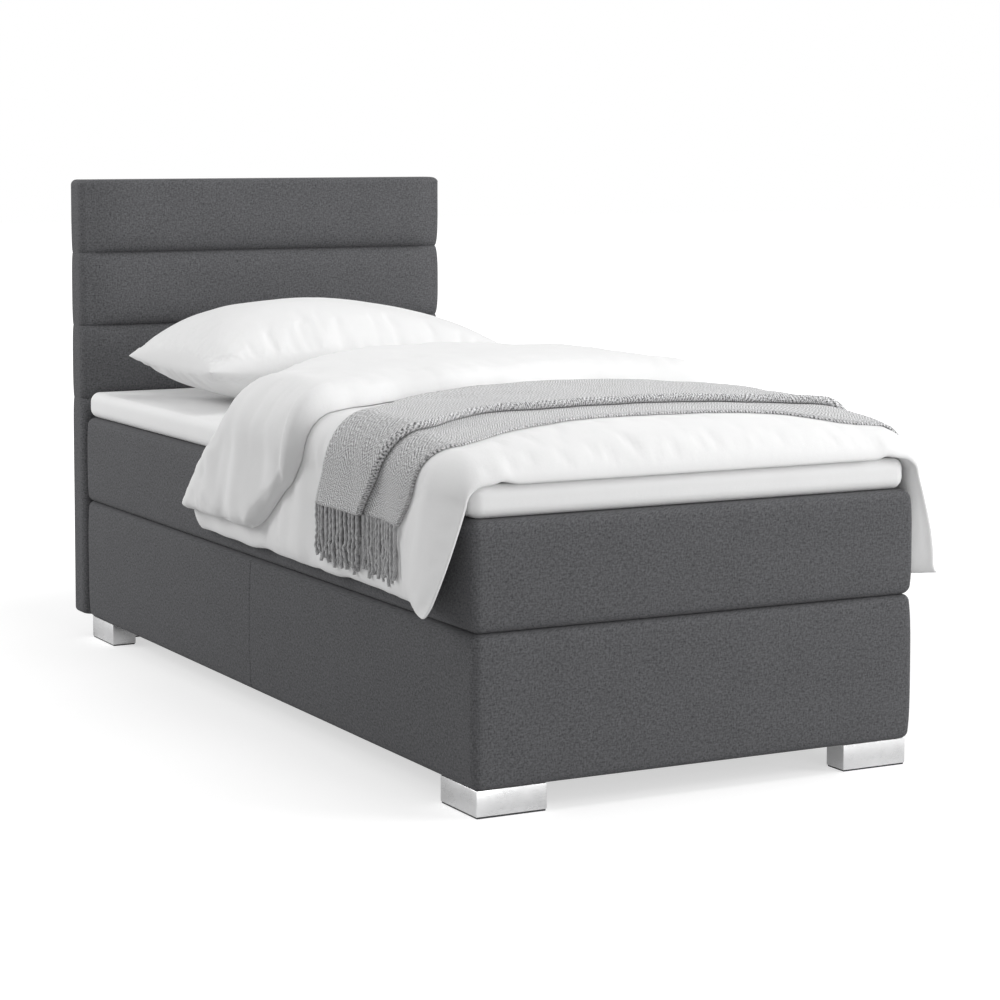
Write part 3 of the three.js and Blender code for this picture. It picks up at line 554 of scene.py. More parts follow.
@dataclass(frozen=True)
class NeedleFelt(Finish):
    """Pressed felt of mixed waste fibres."""

    stops: Stops = ((0.35, 0.5), (0.5, 1.0), (0.65, 1.5))
    relief: float = 0.0012
    relief_share: float = 0.6

    def pattern(self, sketch: NodeSketch) -> tuple[Socket, Socket]:
        """Mixes light and dark fibres."""
        place = sketch.object_place()
        fibres = (sketch.noise(sketch.scaled(place, *scale), detail=4.0, roughness=0.75)
                  for scale in ((300.0, 900.0, 900.0), (900.0, 260.0, 900.0)))
        mixed = sketch.maths("MULTIPLY", sketch.maths("ADD", *fibres), 0.5)
        return mixed, mixed


@dataclass(frozen=True)
class SpunLining(Finish):
    """Thin spun-bonded lining with its grid of weld points."""

    pitch: float = 0.0024
    stops: Stops = ((0.25, 0.7), (0.5, 1.0), (0.75, 1.45))
    relief: float = 0.0003
    relief_share: float = 0.5
    sheen: float = 0.1

    def pattern(self, sketch: NodeSketch) -> tuple[Socket, Socket]:
        """Presses the weld points into tangled fibres."""
        place = sketch.object_place()
        waves = [sketch.wave(part, math.pi / self.pitch) for part in sketch.split(place)]
        total = sketch.maths("ADD", sketch.maths("ADD", waves[0], waves[1]), waves[2])
        fibres = sketch.noise(sketch.scaled(place, 500.0, 900.0, 700.0), roughness=0.7)
        mixed = sketch.maths("ADD", sketch.ranged(total, -2.0, 2.0, 0.0, 0.4), sketch.maths("MULTIPLY", fibres, 0.6))
        return mixed, mixed


class Finishes:
    """Every finish of the bed, built once."""

    def __init__(self) -> None:
        """Builds the materials."""
        self.upholstery = MelangeCloth("grey melange cloth", (0.0925, 0.093, 0.0975), 0.95).build()
        self.topper = PlainWeave("topper cover cloth", (0.9, 0.9, 0.9), 0.9, crumple=0.2).build()
        self.linen = PlainWeave("white bed linen", (0.845, 0.845, 0.845), 0.85).build()
        self.throw = HerringboneWool("grey herringbone wool", (0.52, 0.52, 0.525), 0.95).build()
        self.strand = WoolStrand("grey wool yarn", (0.5, 0.5, 0.505), 0.95).build()
        self.metal = BrushedMetal("satin metal", (0.88, 0.88, 0.885), 0.3).build()
        self.steel = BrushedMetal("bolt steel", (0.56, 0.57, 0.58), 0.38, scale=(300.0, 300.0, 300.0)).build()
        self.glide = MouldedPlastic("dark glide plastic", (0.018, 0.018, 0.02), 0.6).build()
        self.long_timber = SawnTimber("timber grained along", (0.5, 0.35, 0.19), 0.7).build()
        self.cross_timber = SawnTimber("timber grained across", (0.5, 0.35, 0.19), 0.7, grain=Grain.ACROSS).build()
        self.end_timber = SawnTimber("timber grained upright", (0.48, 0.33, 0.18), 0.7, grain=Grain.UPRIGHT).build()
        self.board = ChipBoard("pressed board", (0.45, 0.32, 0.17), 0.8).build()
        self.foam = OpenFoam("cream foam", (0.78, 0.72, 0.55), 0.95).build()
        self.felt = NeedleFelt("grey felt", (0.26, 0.25, 0.24), 1.0).build()
        self.pocket = SpunLining("pocket cloth", (0.74, 0.77, 0.82), 0.9, pitch=0.003).build()
        self.lining = SpunLining("dark lining", (0.028, 0.028, 0.03), 0.95).build()


class Ripple:
    """Smooth repeatable noise on a plane, from -1 to 1."""

    LAYER_SHIFT = (7.3, 3.1)
    LEVELLING = 1.6

    def __init__(self, seed: int, cells: int = 128) -> None:
        """Fills the lattice from a seed."""
        self.cells = cells
        self.lattice = np.random.default_rng(seed).uniform(-1.0, 1.0, (cells, cells))

    def layer(self, across: Array, along: Array) -> Array:
        """Reads one layer of noise.

        Args:
            across: First coordinate, in cells.
            along: Second coordinate, in cells.

        Returns:
            The noise at each place.
        """
        whole = [np.floor(axis).astype(int) for axis in (across, along)]
        parts = [axis - low for axis, low in zip((across, along), whole)]
        ease = [part ** 3 * (part * (6 * part - 15) + 10) for part in parts]
        corner = {
            (i, j): self.lattice[(whole[0] + i) % self.cells, (whole[1] + j) % self.cells]
            for i in (0, 1) for j in (0, 1)
        }
        near = corner[0, 0] * (1 - ease[0]) + corner[1, 0] * ease[0]
        far = corner[0, 1] * (1 - ease[0]) + corner[1, 1] * ease[0]
        return near * (1 - ease[1]) + far * ease[1]

    def __call__(self, across: Array, along: Array, size: float, layers: int = 3) -> Array:
        """Sums layers of noise, each half as large and as strong as the one before.

        Args:
            across: First coordinate, in metres.
            along: Second coordinate, in metres.
            size: The size of the largest features, in metres.
            layers: How many layers are summed.

        Returns:
            The noise at each place, about -1 to 1.
        """
        total, strength = 0.0, 1.0
        for step in range(layers):
            scale = 2.0 ** step / size
            shifted = [place * scale + shift * step for place, shift in zip((across, along), self.LAYER_SHIFT)]
            total = total + strength * self.layer(*shifted)
            strength *= 0.5
        return total / self.LEVELLING


@dataclass(frozen=True)
class Waves:
    """Soft waves in a cloth: their height, the size of the largest, and how many finer layers are summed."""

    height: float
    size: float
    layers: int = 3

    def over(self, ripple: Ripple, across: Array, along: Array) -> Array:
        """Returns the waves' heights at each place."""
        return self.height * ripple(across, along, self.size, self.layers)


class SmoothLine:
    """A smooth curve through pairs of places and values, flat beyond its ends."""

    def __init__(self, pairs: Sequence[tuple[float, float]]) -> None:
        """Works out the slope at each place.

        Args:
            pairs: Places in rising order, each with its value.
        """
        self.places, self.values = (np.array(column, float) for column in zip(*pairs))
        last = len(pairs) - 1
        low = [max(index - 1, 0) for index in range(last + 1)]
        high = [min(index + 1, last) for index in range(last + 1)]
        self.slopes = (self.values[high] - self.values[low]) / (self.places[high] - self.places[low])

    def __call__(self, place: Array) -> Array:
        """Reads the curve.

        Args:
            place: Where to read it.

        Returns:
            Its value at each place.
        """
        place = np.clip(place, self.places[0], self.places[-1])
        index = np.clip(np.searchsorted(self.places, place, side="right") - 1, 0, len(self.places) - 2)
        span = self.places[index + 1] - self.places[index]
        t = (place - self.places[index]) / span
        return ((2 * t ** 3 - 3 * t ** 2 + 1) * self.values[index]
                + (t ** 3 - 2 * t ** 2 + t) * span * self.slopes[index]
                + (3 * t ** 2 - 2 * t ** 3) * self.values[index + 1]
                + (t ** 3 - t ** 2) * span * self.slopes[index + 1])


# Where the throw's foot and head edges lie, as shares of the way up the bed, by shares of the duvet's half width
THROW_FOOT = SmoothLine([
    (-0.85, 0.175), (-0.76, 0.135), (-0.68, 0.112), (-0.6, 0.086), (-0.54, 0.092), (-0.44, 0.118), (-0.3, 0.135),
    (-0.05, 0.152), (0.15, 0.146), (0.32, 0.131), (0.41, 0.105), (0.48, 0.075), (0.56, 0.062), (0.66, 0.066),
    (0.76, 0.09), (0.85, 0.14)])
THROW_HEAD = SmoothLine([
    (-0.85, 0.447), (-0.72, 0.399), (-0.62, 0.367), (-0.55, 0.376), (-0.43, 0.437), (-0.33, 0.47), (-0.13, 0.508),
    (0, 0.524), (0.15, 0.515), (0.3, 0.508), (0.45, 0.505), (0.6, 0.47), (0.72, 0.445), (0.85, 0.44)])


def eased(value: Array) -> Array:
    """Returns a value between 0 and 1 with both ends eased."""
    t = np.clip(value, 0.0, 1.0)
    return t * t * (3 - 2 * t)


def fullness(distance: Array, reach: float) -> Array:
    """The share of full thickness that a rounded edge has at a distance in from its rim."""
    left = 1 - np.clip(np.asarray(distance) / reach, 0.0, 1.0)
    return np.sqrt(np.maximum(1 - left ** 2, 0.0))


class MeshSketch:
    """Collects points and faces with cloth coordinates, and makes a mesh object of them."""

    def __init__(self) -> None:
        """Starts empty."""
        self.points: list[Array] = []
        self.faces: list[tuple[int, ...]] = []
        self.places: list[tuple[float, float]] = []
        self.held: list[Array] = []
        self.count = 0

    def grid(self, points: Array, places: Array, round_trip: float = 0.0,
             keep: Callable[[int, int], bool] | None = None, held: Array | None = None) -> Array:
        """Adds a grid of points joined by four-sided faces.

        Args:
            points: Rows and columns of points.
            places: The cloth coordinates of each.
            round_trip: Where the columns close into a ring, the cloth's length round it.
            keep: Says of a row and column whether its face is made.
            held: How firmly a filling leaves each point in place, 1 where none is given.

        Returns:
            The points' indices, in rows and columns.
        """
        rows, columns = points.shape[:2]
        index = np.arange(rows * columns).reshape(rows, columns) + self.count
        self.points.append(points.reshape(-1, 3))
        self.held.append((np.ones((rows, columns)) if held is None else held).ravel())
        self.count += rows * columns
        for i in range(rows - 1):
            for j in range(columns if round_trip else columns - 1):
                if keep and not keep(i, j):
                    continue
                k = (j + 1) % columns
                self.faces.append((index[i, j], index[i, k], index[i + 1, k], index[i + 1, j]))
                turn = round_trip if k < j else 0.0
                for row, column in ((i, j), (i, k), (i + 1, k), (i + 1, j)):
                    extra = turn if column == k and k < j else 0.0
                    self.places.append((places[row, column, 0] + extra, places[row, column, 1]))
        return index

    def face(self, indices: Sequence[int], places: Sequence[tuple[float, float]]) -> None:
        """Adds one face."""
        self.faces.append(tuple(int(i) for i in indices))
        self.places.extend((float(u), float(v)) for u, v in places)

    def band(self, first: Array, second: Array, places: Array, shift: tuple[float, float]) -> None:
        """Joins two runs of points with a strip of faces.

        Args:
            first: One run's indices.
            second: The other run's indices.
            places: The cloth coordinates along both runs.
            shift: How far apart the two runs are on the cloth.
        """
        beside = places + np.array(shift)
        for i in range(len(first) - 1):
            corners = (first[i], first[i + 1], second[i + 1], second[i])
            self.face(corners, (places[i], places[i + 1], beside[i + 1], beside[i]))

    def close(self, top: Array, low: Array, places: Array, width: float = 0.004) -> None:
        """Joins the rims of two like grids.

        Args:
            top: The upper grid's indices.
            low: The lower grid's indices.
            places: The cloth coordinates that both share.
            width: The rim's width on the cloth.
        """
        self.band(low[0], top[0], places[0], (width, 0.0))
        self.band(top[-1], low[-1], places[-1], (width, 0.0))
        self.band(top[:, 0], low[:, 0], places[:, 0], (0.0, width))
        self.band(low[:, -1], top[:, -1], places[:, -1], (0.0, width))

    def skin(self, outer: Array, inner: Array, places: Array, held: Array | None = None) -> None:
        """Closes two like grids into one skin round their rims.

        Args:
            outer: The upper grid of points.
            inner: The lower grid of points.
            places: The cloth coordinates that both share.
            held: How firmly a filling leaves the upper points in place.
        """
        top = self.grid(outer, places, held=held)
        low = self.grid(inner[:, ::-1], places[:, ::-1])[:, ::-1]
        self.close(top, low, places)

    def build(self, name: str, weld: float = 1e-6) -> Piece:
        """Makes the mesh object, with its faces turned outwards.

        Args:
            name: The piece's name.
            weld: Points closer than this become one.

        Returns:
            The new object, linked to the scene.
        """
        mesh = bpy.data.meshes.new(name)
        mesh.from_pydata(np.concatenate(self.points).tolist(), [], self.faces)
        layer = mesh.uv_layers.new(name=CLOTH_MAP)
        layer.data.foreach_set("uv", np.array(self.places, np.float32).ravel())
        held = mesh.attributes.new(HELD_SHARE, "FLOAT", "POINT")
        held.data.foreach_set("value", np.concatenate(self.held).astype(np.float32))
        work = bmesh.new()
        work.from_mesh(mesh)
        bmesh.ops.remove_doubles(work, verts=work.verts, dist=weld)
        bmesh.ops.recalc_face_normals(work, faces=work.faces)
        work.to_mesh(mesh)
        work.free()
        mesh.shade_smooth()
        return linked(name, mesh)


def linked(name: str, data: bpy.types.ID) -> Piece:
    """Makes an object for some data and links it to the scene.

    Args:
        name: The object's name.
        data: Its mesh, lamp or camera.

    Returns:
        The new object.
    """
    item = bpy.data.objects.new(name, data)
    bpy.context.scene.collection.objects.link(item)
    return item


def finished(piece: Piece) -> Piece:
    """Applies a piece's modifiers and keeps its name.

    Args:
        piece: The piece to make plain.

    Returns:
        The same piece with a plain mesh.
    """
    bpy.context.view_layer.update()
    graph = bpy.context.evaluated_depsgraph_get()
    mesh = bpy.data.meshes.new_from_object(piece.evaluated_get(graph), depsgraph=graph)
    piece.modifiers.clear()
    piece.data = mesh
    mesh.name = piece.name
    return piece


def dressed(piece: Piece, material: Material, slot: Slot, replaced: Sequence[str]) -> Piece:
    """Gives a piece its material and its place in the frame.

    Args:
        piece: The finished piece.
        material: Its material.
        slot: The record's slot for it; not used.
        replaced: The frame's nodes that it stands for.

    Returns:
        The same piece.
    """
    piece.data.materials.clear()
    piece.data.materials.append(material)
    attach(piece, BODY)
    if replaced:
        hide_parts(*replaced)
    LOG.info("%s: %d faces", piece.name, len(piece.data.polygons))
    return piece


@dataclass(frozen=True)
class Filling:
    """Fills a sewn cover and lets its cloth crease, with a short cloth simulation."""

    pressure: float = 4.0
    growth: float = 0.025
    most: float = 0.006
    frames: int = 20
    smooth_steps: int = 2

    def settle(self, piece: Piece) -> Piece:
        """Runs the simulation on the piece's own mesh and keeps each point near its place.

        Args:
            piece: The closed cover, with its held shares.

        Returns:
            The same piece, filled.
        """
        mesh = piece.data
        before, shares = self.read(mesh.vertices, "co", 3), self.read(mesh.attributes[HELD_SHARE].data, "value", 1)
        group = piece.vertex_groups.new(name="held")
        steps = np.round(shares.ravel() * 10) / 10
        for share in np.unique(steps):
            group.add(np.flatnonzero(steps == share).tolist(), float(share), "REPLACE")
        cloth = piece.modifiers.new("filling", "CLOTH")
        self.tune(cloth)
        scene = bpy.context.scene
        for frame in range(1, self.frames + 1):
            scene.frame_set(frame)
        graph = bpy.context.evaluated_depsgraph_get()
        after = self.read(piece.evaluated_get(graph).data.vertices, "co", 3)
        piece.modifiers.clear()
        piece.vertex_groups.clear()
        scene.frame_set(1)
        move = (after - before) * (1 - shares)
        length = np.maximum(np.linalg.norm(move, axis=1, keepdims=True), LEAST_LENGTH)
        move *= self.most * np.tanh(length / self.most) / length
        mesh.vertices.foreach_set("co", (before + move).astype(np.float32).ravel())
        mesh.update()
        LOG.info("%s: filled, largest move %.1f mm", piece.name, 1000 * float(np.linalg.norm(move, axis=1).max()))
        smooth = piece.modifiers.new("settle", "SMOOTH")
        smooth.factor, smooth.iterations = 0.4, self.smooth_steps
        return finished(piece)

    def tune(self, cloth: bpy.types.ClothModifier) -> None:
        """Sets the cloth's stiffness, growth and pressure."""
        settings = cloth.settings
        settings.quality, settings.mass = 5, 0.25
        settings.tension_stiffness = settings.compression_stiffness = 12.0
        settings.shear_stiffness, settings.bending_stiffness = 4.0, 0.06
        settings.shrink_min = -self.growth
        settings.use_pressure, settings.uniform_pressure_force = True, self.pressure
        settings.vertex_group_mass, settings.pin_stiffness = "held", 4.0
        settings.effector_weights.gravity = 0.0
        cloth.collision_settings.use_collision = False
        cloth.point_cache.frame_start, cloth.point_cache.frame_end = 1, self.frames

    @staticmethod
    def read(rows: bpy.types.bpy_prop_collection, name: str, width: int) -> Array:
        """Reads one property of every row into an array of the given width."""
        values = np.empty(len(rows) * width, np.float32)
        rows.foreach_get(name, values)
        return values.reshape(-1, width).astype(float)


@dataclass(frozen=True)
class BedSizes:
    """The sizes and levels that the pieces share."""

    box_width: float = 0.93
    crown: float = 0.004
    foot_face: float = -1.03615
    head_face: float = 0.96385
    head_front: float = 0.96415
    head_back: float = 1.03615
    base_bottom: float = 0.0506
    base_top: float = 0.3256
    mattress_bottom: float = 0.3259
    mattress_top: float = 0.5239
    topper_bottom: float = 0.5242
    topper_top: float = 0.5842

    @property
    def rest_level(self) -> float:
        """The level that the bedding lies on."""
        return self.topper_top + 0.0006


@dataclass
class RoundedRing:
    """A level outline with rounded corners, walked from the near left corner round to the left side."""

    across: Sequence[float]
    along: Sequence[float]
    steps: int = 7

    def walk(self, half_width: float, near: float, far: float, near_radius: float,
             far_radius: float) -> tuple[Array, Array]:
        """Returns the outline's points and its outward directions.

        Args:
            half_width: Half of its width.
            near: Its near end along Y.
            far: Its far end along Y.
            near_radius: The radius of its near corners.
            far_radius: The radius of its far corners.

        Returns:
            Points and unit normals in the plane, one row for each.
        """
        points, normals = [], []

        def arc(x: float, y: float, radius: float, quarter: int) -> None:
            for step in range(self.steps + 1):
                angle = (quarter + step / self.steps) * math.pi / 2
                normals.append((math.cos(angle), math.sin(angle)))
                points.append((x + radius * normals[-1][0], y + radius * normals[-1][1]))

        def run(start: tuple[float, float], end: tuple[float, float], shares: Sequence[float],
                normal: tuple[float, float]) -> None:
            for share in shares:
                points.append((start[0] + share * (end[0] - start[0]), start[1] + share * (end[1] - start[1])))
                normals.append(normal)

        near_x, far_x = half_width - near_radius, half_width - far_radius
        low, high = near + near_radius, far - far_radius
        arc(-near_x, low, near_radius, 2)
        run((-near_x, near), (near_x, near), self.across, (0.0, -1.0))
        arc(near_x, low, near_radius, 3)
        run((half_width, low), (half_width, high), self.along, (1.0, 0.0))
        arc(far_x, high, far_radius, 0)
        run((far_x, far), (-far_x, far), self.across, (0.0, 1.0))
        arc(-far_x, high, far_radius, 1)
        run((-half_width, high), (-half_width, low), [1 - share for share in reversed(self.along)], (-1.0, 0.0))
        return np.array(points), np.array(normals)


def even_shares(count: int) -> list[float]:
    """Returns shares that divide a run into equal steps, without its ends."""
    return [(step + 1) / (count + 1) for step in range(count)]


def edge_rows(edge: float, level: float, arcs: int, upper: bool) -> list[tuple[float, float]]:
    """The section of a box's rounded lower or upper edge, from below.

    Args:
        edge: The edge's radius.
        level: The level of the box's bottom or top.
        arcs: The steps over the edge.
        upper: Whether it is the upper edge.

    Returns:
        Insets and levels.
    """
    turns = [step / arcs * QUARTER for step in range(arcs + 1)]
    if upper:
        return [(edge * (1 - math.cos(turn)), level - edge * (1 - math.sin(turn))) for turn in turns]
    return [(edge * (1 - math.sin(turn)), level + edge * (1 - math.cos(turn))) for turn in turns]


class RingStack:
    """Rings of points one above the other, with cloth coordinates round them and along their section."""

    def __init__(self) -> None:
        """Starts empty."""
        self.rows: list[Array] = []
        self.places: list[Array] = []
        self.walked = 0.0
        self.last: tuple[float, float] | None = None

    @staticmethod
    def around(points: Array) -> Array:
        """Returns the length round a ring at each of its points."""
        return np.concatenate([[0.0], np.cumsum(np.linalg.norm(np.diff(points, axis=0), axis=1))])

    def add(self, points: Array, heights: Array, around: Array, section: tuple[float, float]) -> None:
        """Adds one ring.

        Args:
            points: Its points in the plane.
            heights: Their heights.
            around: The length round it at each point.
            section: Its place on the upright section, as an inset and a level.
        """
        if self.last is not None:
            self.walked += math.dist(section, self.last)
        self.last = section
        self.rows.append(np.column_stack([points, heights]))
        self.places.append(np.column_stack([around, np.full(len(points), self.walked)]))

    def build(self, name: str, round_trip: float, below: bool = False,
              keep: Callable[[int, int], bool] | None = None) -> Piece:
        """Joins the rings and closes the last one.

        Args:
            name: The piece's name.
            round_trip: The cloth's length round the rings.
            below: Whether the first ring is closed too.
            keep: Says of a ring and a point whether the face there is made.

        Returns:
            The new object.
        """
        sketch = MeshSketch()
        index = sketch.grid(np.array(self.rows), np.array(self.places), round_trip, keep)
        sketch.face(index[-1], self.rows[-1][:, :2])
        if below:
            sketch.face(index[0][::-1], self.rows[0][::-1, :2])
        return sketch.build(name)


def walled(piece: Piece, wall: float) -> Piece:
    """Gives a cover the thickness of its cloth, inwards.

    Args:
        piece: The cover's skin.
        wall: The cloth's thickness.

    Returns:
        The finished piece.
    """
    thick = piece.modifiers.new("wall", "SOLIDIFY")
    thick.thickness, thick.offset = wall, -1.0
    return finished(piece)


@dataclass
class UpholsteredBox:
    """A fitted cloth cover over a box: rounded edges, crowned sides and a turned-in hem below."""

    name: str
    node: str
    bottom: float
    top: float
    edge: float
    sizes: BedSizes
    ripple: Ripple
    corner: float = 0.018
    least_corner: float = 0.004
    wall: float = 0.0028
    hem_insets: tuple[float, ...] = (0.040, 0.031, 0.022)
    top_insets: tuple[float, ...] = (0.03, 0.05, 0.09, 0.16)
    row_height: float = 0.012
    across_steps: int = 44
    along_steps: int = 96
    arcs: int = 6
    waves: Waves = Waves(0.0008, 0.3)
    seams: bool = False
    seam_half: float = 0.0013
    seam_depth: float = 0.0022
    seam_steps: tuple[float, ...] = (-0.012, -0.006, -0.003, -0.0013, 0, 0.0013, 0.003, 0.006, 0.012)
    seam_room: float = 0.016
    puckers: Waves = Waves(0.0006, 0.018, 2)
    pucker_reach: float = 0.012

    def profile(self) -> list[tuple[float, float, float]]:
        """The upright section, as insets, levels and how much of the crown each has.

        Returns:
            Rows from the hem inside the bottom window up and over to the middle of the top.
        """
        low, high = self.bottom + self.edge, self.top - self.edge
        section = [(inset, self.bottom) for inset in self.hem_insets]
        section += edge_rows(self.edge, self.bottom, self.arcs, upper=False)
        section += [(0.0, low + share * (high - low)) for share in even_shares(round((high - low) / self.row_height))]
        section += edge_rows(self.edge, self.top, self.arcs, upper=True)
        section += [(inset, self.top) for inset in self.top_insets]
        height = self.top - self.bottom
        return [(inset, level, 1 - abs(2 * ((level - self.bottom) / height) - 1) ** 4) for inset, level in section]

    def along_shares(self) -> list[float]:
        """Shares along the long side, finer beside the upright seam."""
        shares = even_shares(self.along_steps)
        if not self.seams:
            return shares
        length = self.sizes.head_face - self.sizes.foot_face - 2 * self.corner
        plain = [share for share in shares if abs(share - 0.5) > self.seam_room / length]
        return sorted(plain + [0.5 + step / length for step in self.seam_steps])

    def build(self) -> Piece:
        """Makes the cover.

        Returns:
            The finished piece.
        """
        sizes = self.sizes
        ring = RoundedRing(even_shares(self.across_steps), self.along_shares())
        stack = RingStack()
        for inset, level, crown_share in self.profile():
            crown = sizes.crown * crown_share
            radius = max(self.corner - min(inset, self.edge), self.least_corner)
            points, normals = ring.walk(sizes.box_width / 2 + crown - inset, sizes.foot_face - crown + inset,
                                        sizes.head_face - inset, radius, radius)
            around = stack.around(points)
            side = 1.0 if inset == 0 else max(0.0, 1 - inset / self.edge)
            away = self.relief(points, normals, around, level) * side
            stack.add(points - normals * away[:, None], np.full(len(points), level), around, (inset, level))
        return walled(stack.build(self.name, 2 * (sizes.box_width + sizes.head_face - sizes.foot_face)), self.wall)

    def relief(self, points: Array, normals: Array, around: Array, level: float) -> Array:
        """How far the cloth stands back from its plain form.

        Args:
            points: The ring's points.
            normals: Its outward directions.
            around: The length round it at each point.
            level: Its level.

        Returns:
            A depth in metres for each point.
        """
        levels = np.full(len(points), level)
        depth = self.waves.height + self.waves.over(self.ripple, around, levels)
        if self.seams:
            away = np.abs(points[:, 1] - (self.sizes.foot_face + self.sizes.head_face) / 2)
            upright = np.abs(normals[:, 0]) > 0.9
            groove = self.seam_depth * np.exp(-(away / self.seam_half) ** 2)
            pucker = self.puckers.over(self.ripple, away, levels) * np.exp(-away / self.pucker_reach)
            depth = depth + np.where(upright, groove + pucker, 0.0)
        return np.maximum(depth, 0.0)


@dataclass
class Headboard:
    """The headboard's cover: three channels over a plain panel, drawn in along their seams."""

    sizes: BedSizes
    ripple: Ripple
    width: float = 0.948
    height: float = 1.034
    panel: float = 0.1725
    panels: int = 3
    front_tuck: float = 0.012
    side_tuck: float = 0.0025
    reach: float = 0.078
    tucks: tuple[tuple[float, float], ...] = ((0.3, 0.018), (0.25, 0.004))
    edge: float = 0.014
    corner: float = 0.022
    crown_width: float = 0.080
    crown_depth: float = 0.016
    back_corner: float = 0.006
    turn_in: float = 0.040
    wall: float = 0.0028
    arcs: int = 6
    seam_steps: tuple[float, ...] = (0.0, 0.0009, 0.002, 0.0035, 0.006, 0.009, 0.013, 0.018, 0.025, 0.034, 0.046,
                                     0.06, 0.074)
    lower_start: float = 0.02
    lower_steps: int = 26
    front_steps: int = 90
    side_steps: int = 5
    waves: Waves = Waves(0.0007, 0.22)
    puckers: Waves = Waves(0.0008, 0.02, 2)
    pucker_reach: float = 0.016
    seam_clear: float = 0.003

    def seams(self) -> list[float]:
        """The levels of the seams."""
        top = self.sizes.base_bottom + self.height
        return [top - (step + 1) * self.panel for step in range(self.panels)]

    def from_seam(self, level: float) -> float:
        """How far a level is from the nearest seam."""
        return min(abs(level - seam) for seam in self.seams())

    def levels(self) -> list[tuple[float, float]]:
        """The rings' levels, each with how far the rounded top or bottom edge stands back.

        Returns:
            Levels from the bottom up, with their stand-back.
        """
        low, high = self.sizes.base_bottom, self.sizes.base_bottom + self.height
        rounded = edge_rows(self.edge, low, self.arcs, upper=False) + edge_rows(self.edge, high, self.arcs, upper=True)
        plain = {low + self.turn_in, high - self.turn_in}
        for seam in self.seams():
            plain |= {seam - step for step in self.seam_steps} | {seam + step for step in self.seam_steps}
        below, start = min(self.seams()) - self.reach, self.lower_start
        plain |= {low + start + share * (below - low - start) for share in even_shares(self.lower_steps)}
        kept = [level for level in plain if low + self.edge < level < high - self.edge]
        return sorted([(level, inset) for inset, level in rounded] + [(level, 0.0) for level in kept])

    def drawn_in(self, level: float) -> float:
        """How far the cloth is drawn in at a level: 1 at a seam and 0 over a panel's crown.

        Args:
            level: The level.

        Returns:
            A share: a wide hollow, a narrower one and a crease in it.
        """
        distance = self.from_seam(level)
        share = max(0.0, 1 - distance / self.reach)
        wide = 1 - sum(weight for weight, _ in self.tucks)
        total = wide * share ** 3
        for weight, reach in self.tucks:
            total += weight * math.exp(-distance / reach)
        return total * (share > 0)

    def build(self) -> Piece:
        """Makes the headboard's cover, with the window in its back.

        Returns:
            The finished piece.
        """
        sizes, half = self.sizes, self.width / 2
        hem = (half - self.turn_in) / half
        shares = sorted([*even_shares(self.front_steps), (1 - hem) / 2, (1 + hem) / 2])
        ring = RoundedRing(shares, even_shares(self.side_steps))
        stack = RingStack()
        for level, back in self.levels():
            drawn = self.drawn_in(level)
            points, normals = ring.walk(half - self.side_tuck * drawn - back, sizes.head_front + self.front_tuck * drawn
                                        + back, sizes.head_back, self.corner, self.back_corner)
            around = stack.around(points)
            from_end = np.maximum(half - self.corner - np.abs(points[:, 0]), 0.0)
            round_share = 1 - (1 - np.minimum(from_end / self.crown_width, 1.0)) ** 2
            full = self.crown_depth * (1 - drawn) * (level > min(self.seams()))
            points[:, 1] -= np.where(normals[:, 1] < -0.99, full * round_share, 0.0)
            front = (normals[:, 1] < 0.5) & (back == 0)
            points = points - normals * np.where(front, self.relief(points, level), 0.0)[:, None]
            stack.add(points, np.full(len(points), level), around, (drawn * self.front_tuck + back, level))
        rows = np.array(stack.rows)
        low, high = sizes.base_bottom + self.turn_in, sizes.base_bottom + self.height - self.turn_in

        def covered(row: int, column: int) -> bool:
            ahead = (column + 1) % rows.shape[1]
            middle = (rows[row, column] + rows[row + 1, ahead] + rows[row + 1, column] + rows[row, ahead]) / 4
            behind = middle[1] > sizes.head_back - 0.0005 and abs(middle[0]) < half - self.turn_in
            return not (behind and low < middle[2] < high)

        depth = sizes.head_back - sizes.head_front
        piece = stack.build("headboard_upholstery", 2 * (self.width + depth), below=True, keep=covered)
        loose = bmesh.new()
        loose.from_mesh(piece.data)
        bmesh.ops.delete(loose, geom=[point for point in loose.verts if not point.link_faces], context="VERTS")
        loose.to_mesh(piece.data)
        loose.free()
        return walled(piece, self.wall)

    def relief(self, points: Array, level: float) -> Array:
        """How far the cloth stands back from its plain form: soft waves, and small puckers at the seams.

        Args:
            points: The ring's points.
            level: Its level.

        Returns:
            A depth in metres for each point.
        """
        levels = np.full(len(points), level)
        across = points[:, 0] + points[:, 1]
        distance = self.from_seam(level)
        waves = self.waves.height + self.waves.over(self.ripple, across, levels)
        pucker = self.puckers.over(self.ripple, across, levels * 0.25) * math.exp(-distance / self.pucker_reach)
        return np.maximum(waves + pucker * min(distance / self.seam_clear, 1.0), 0.0)


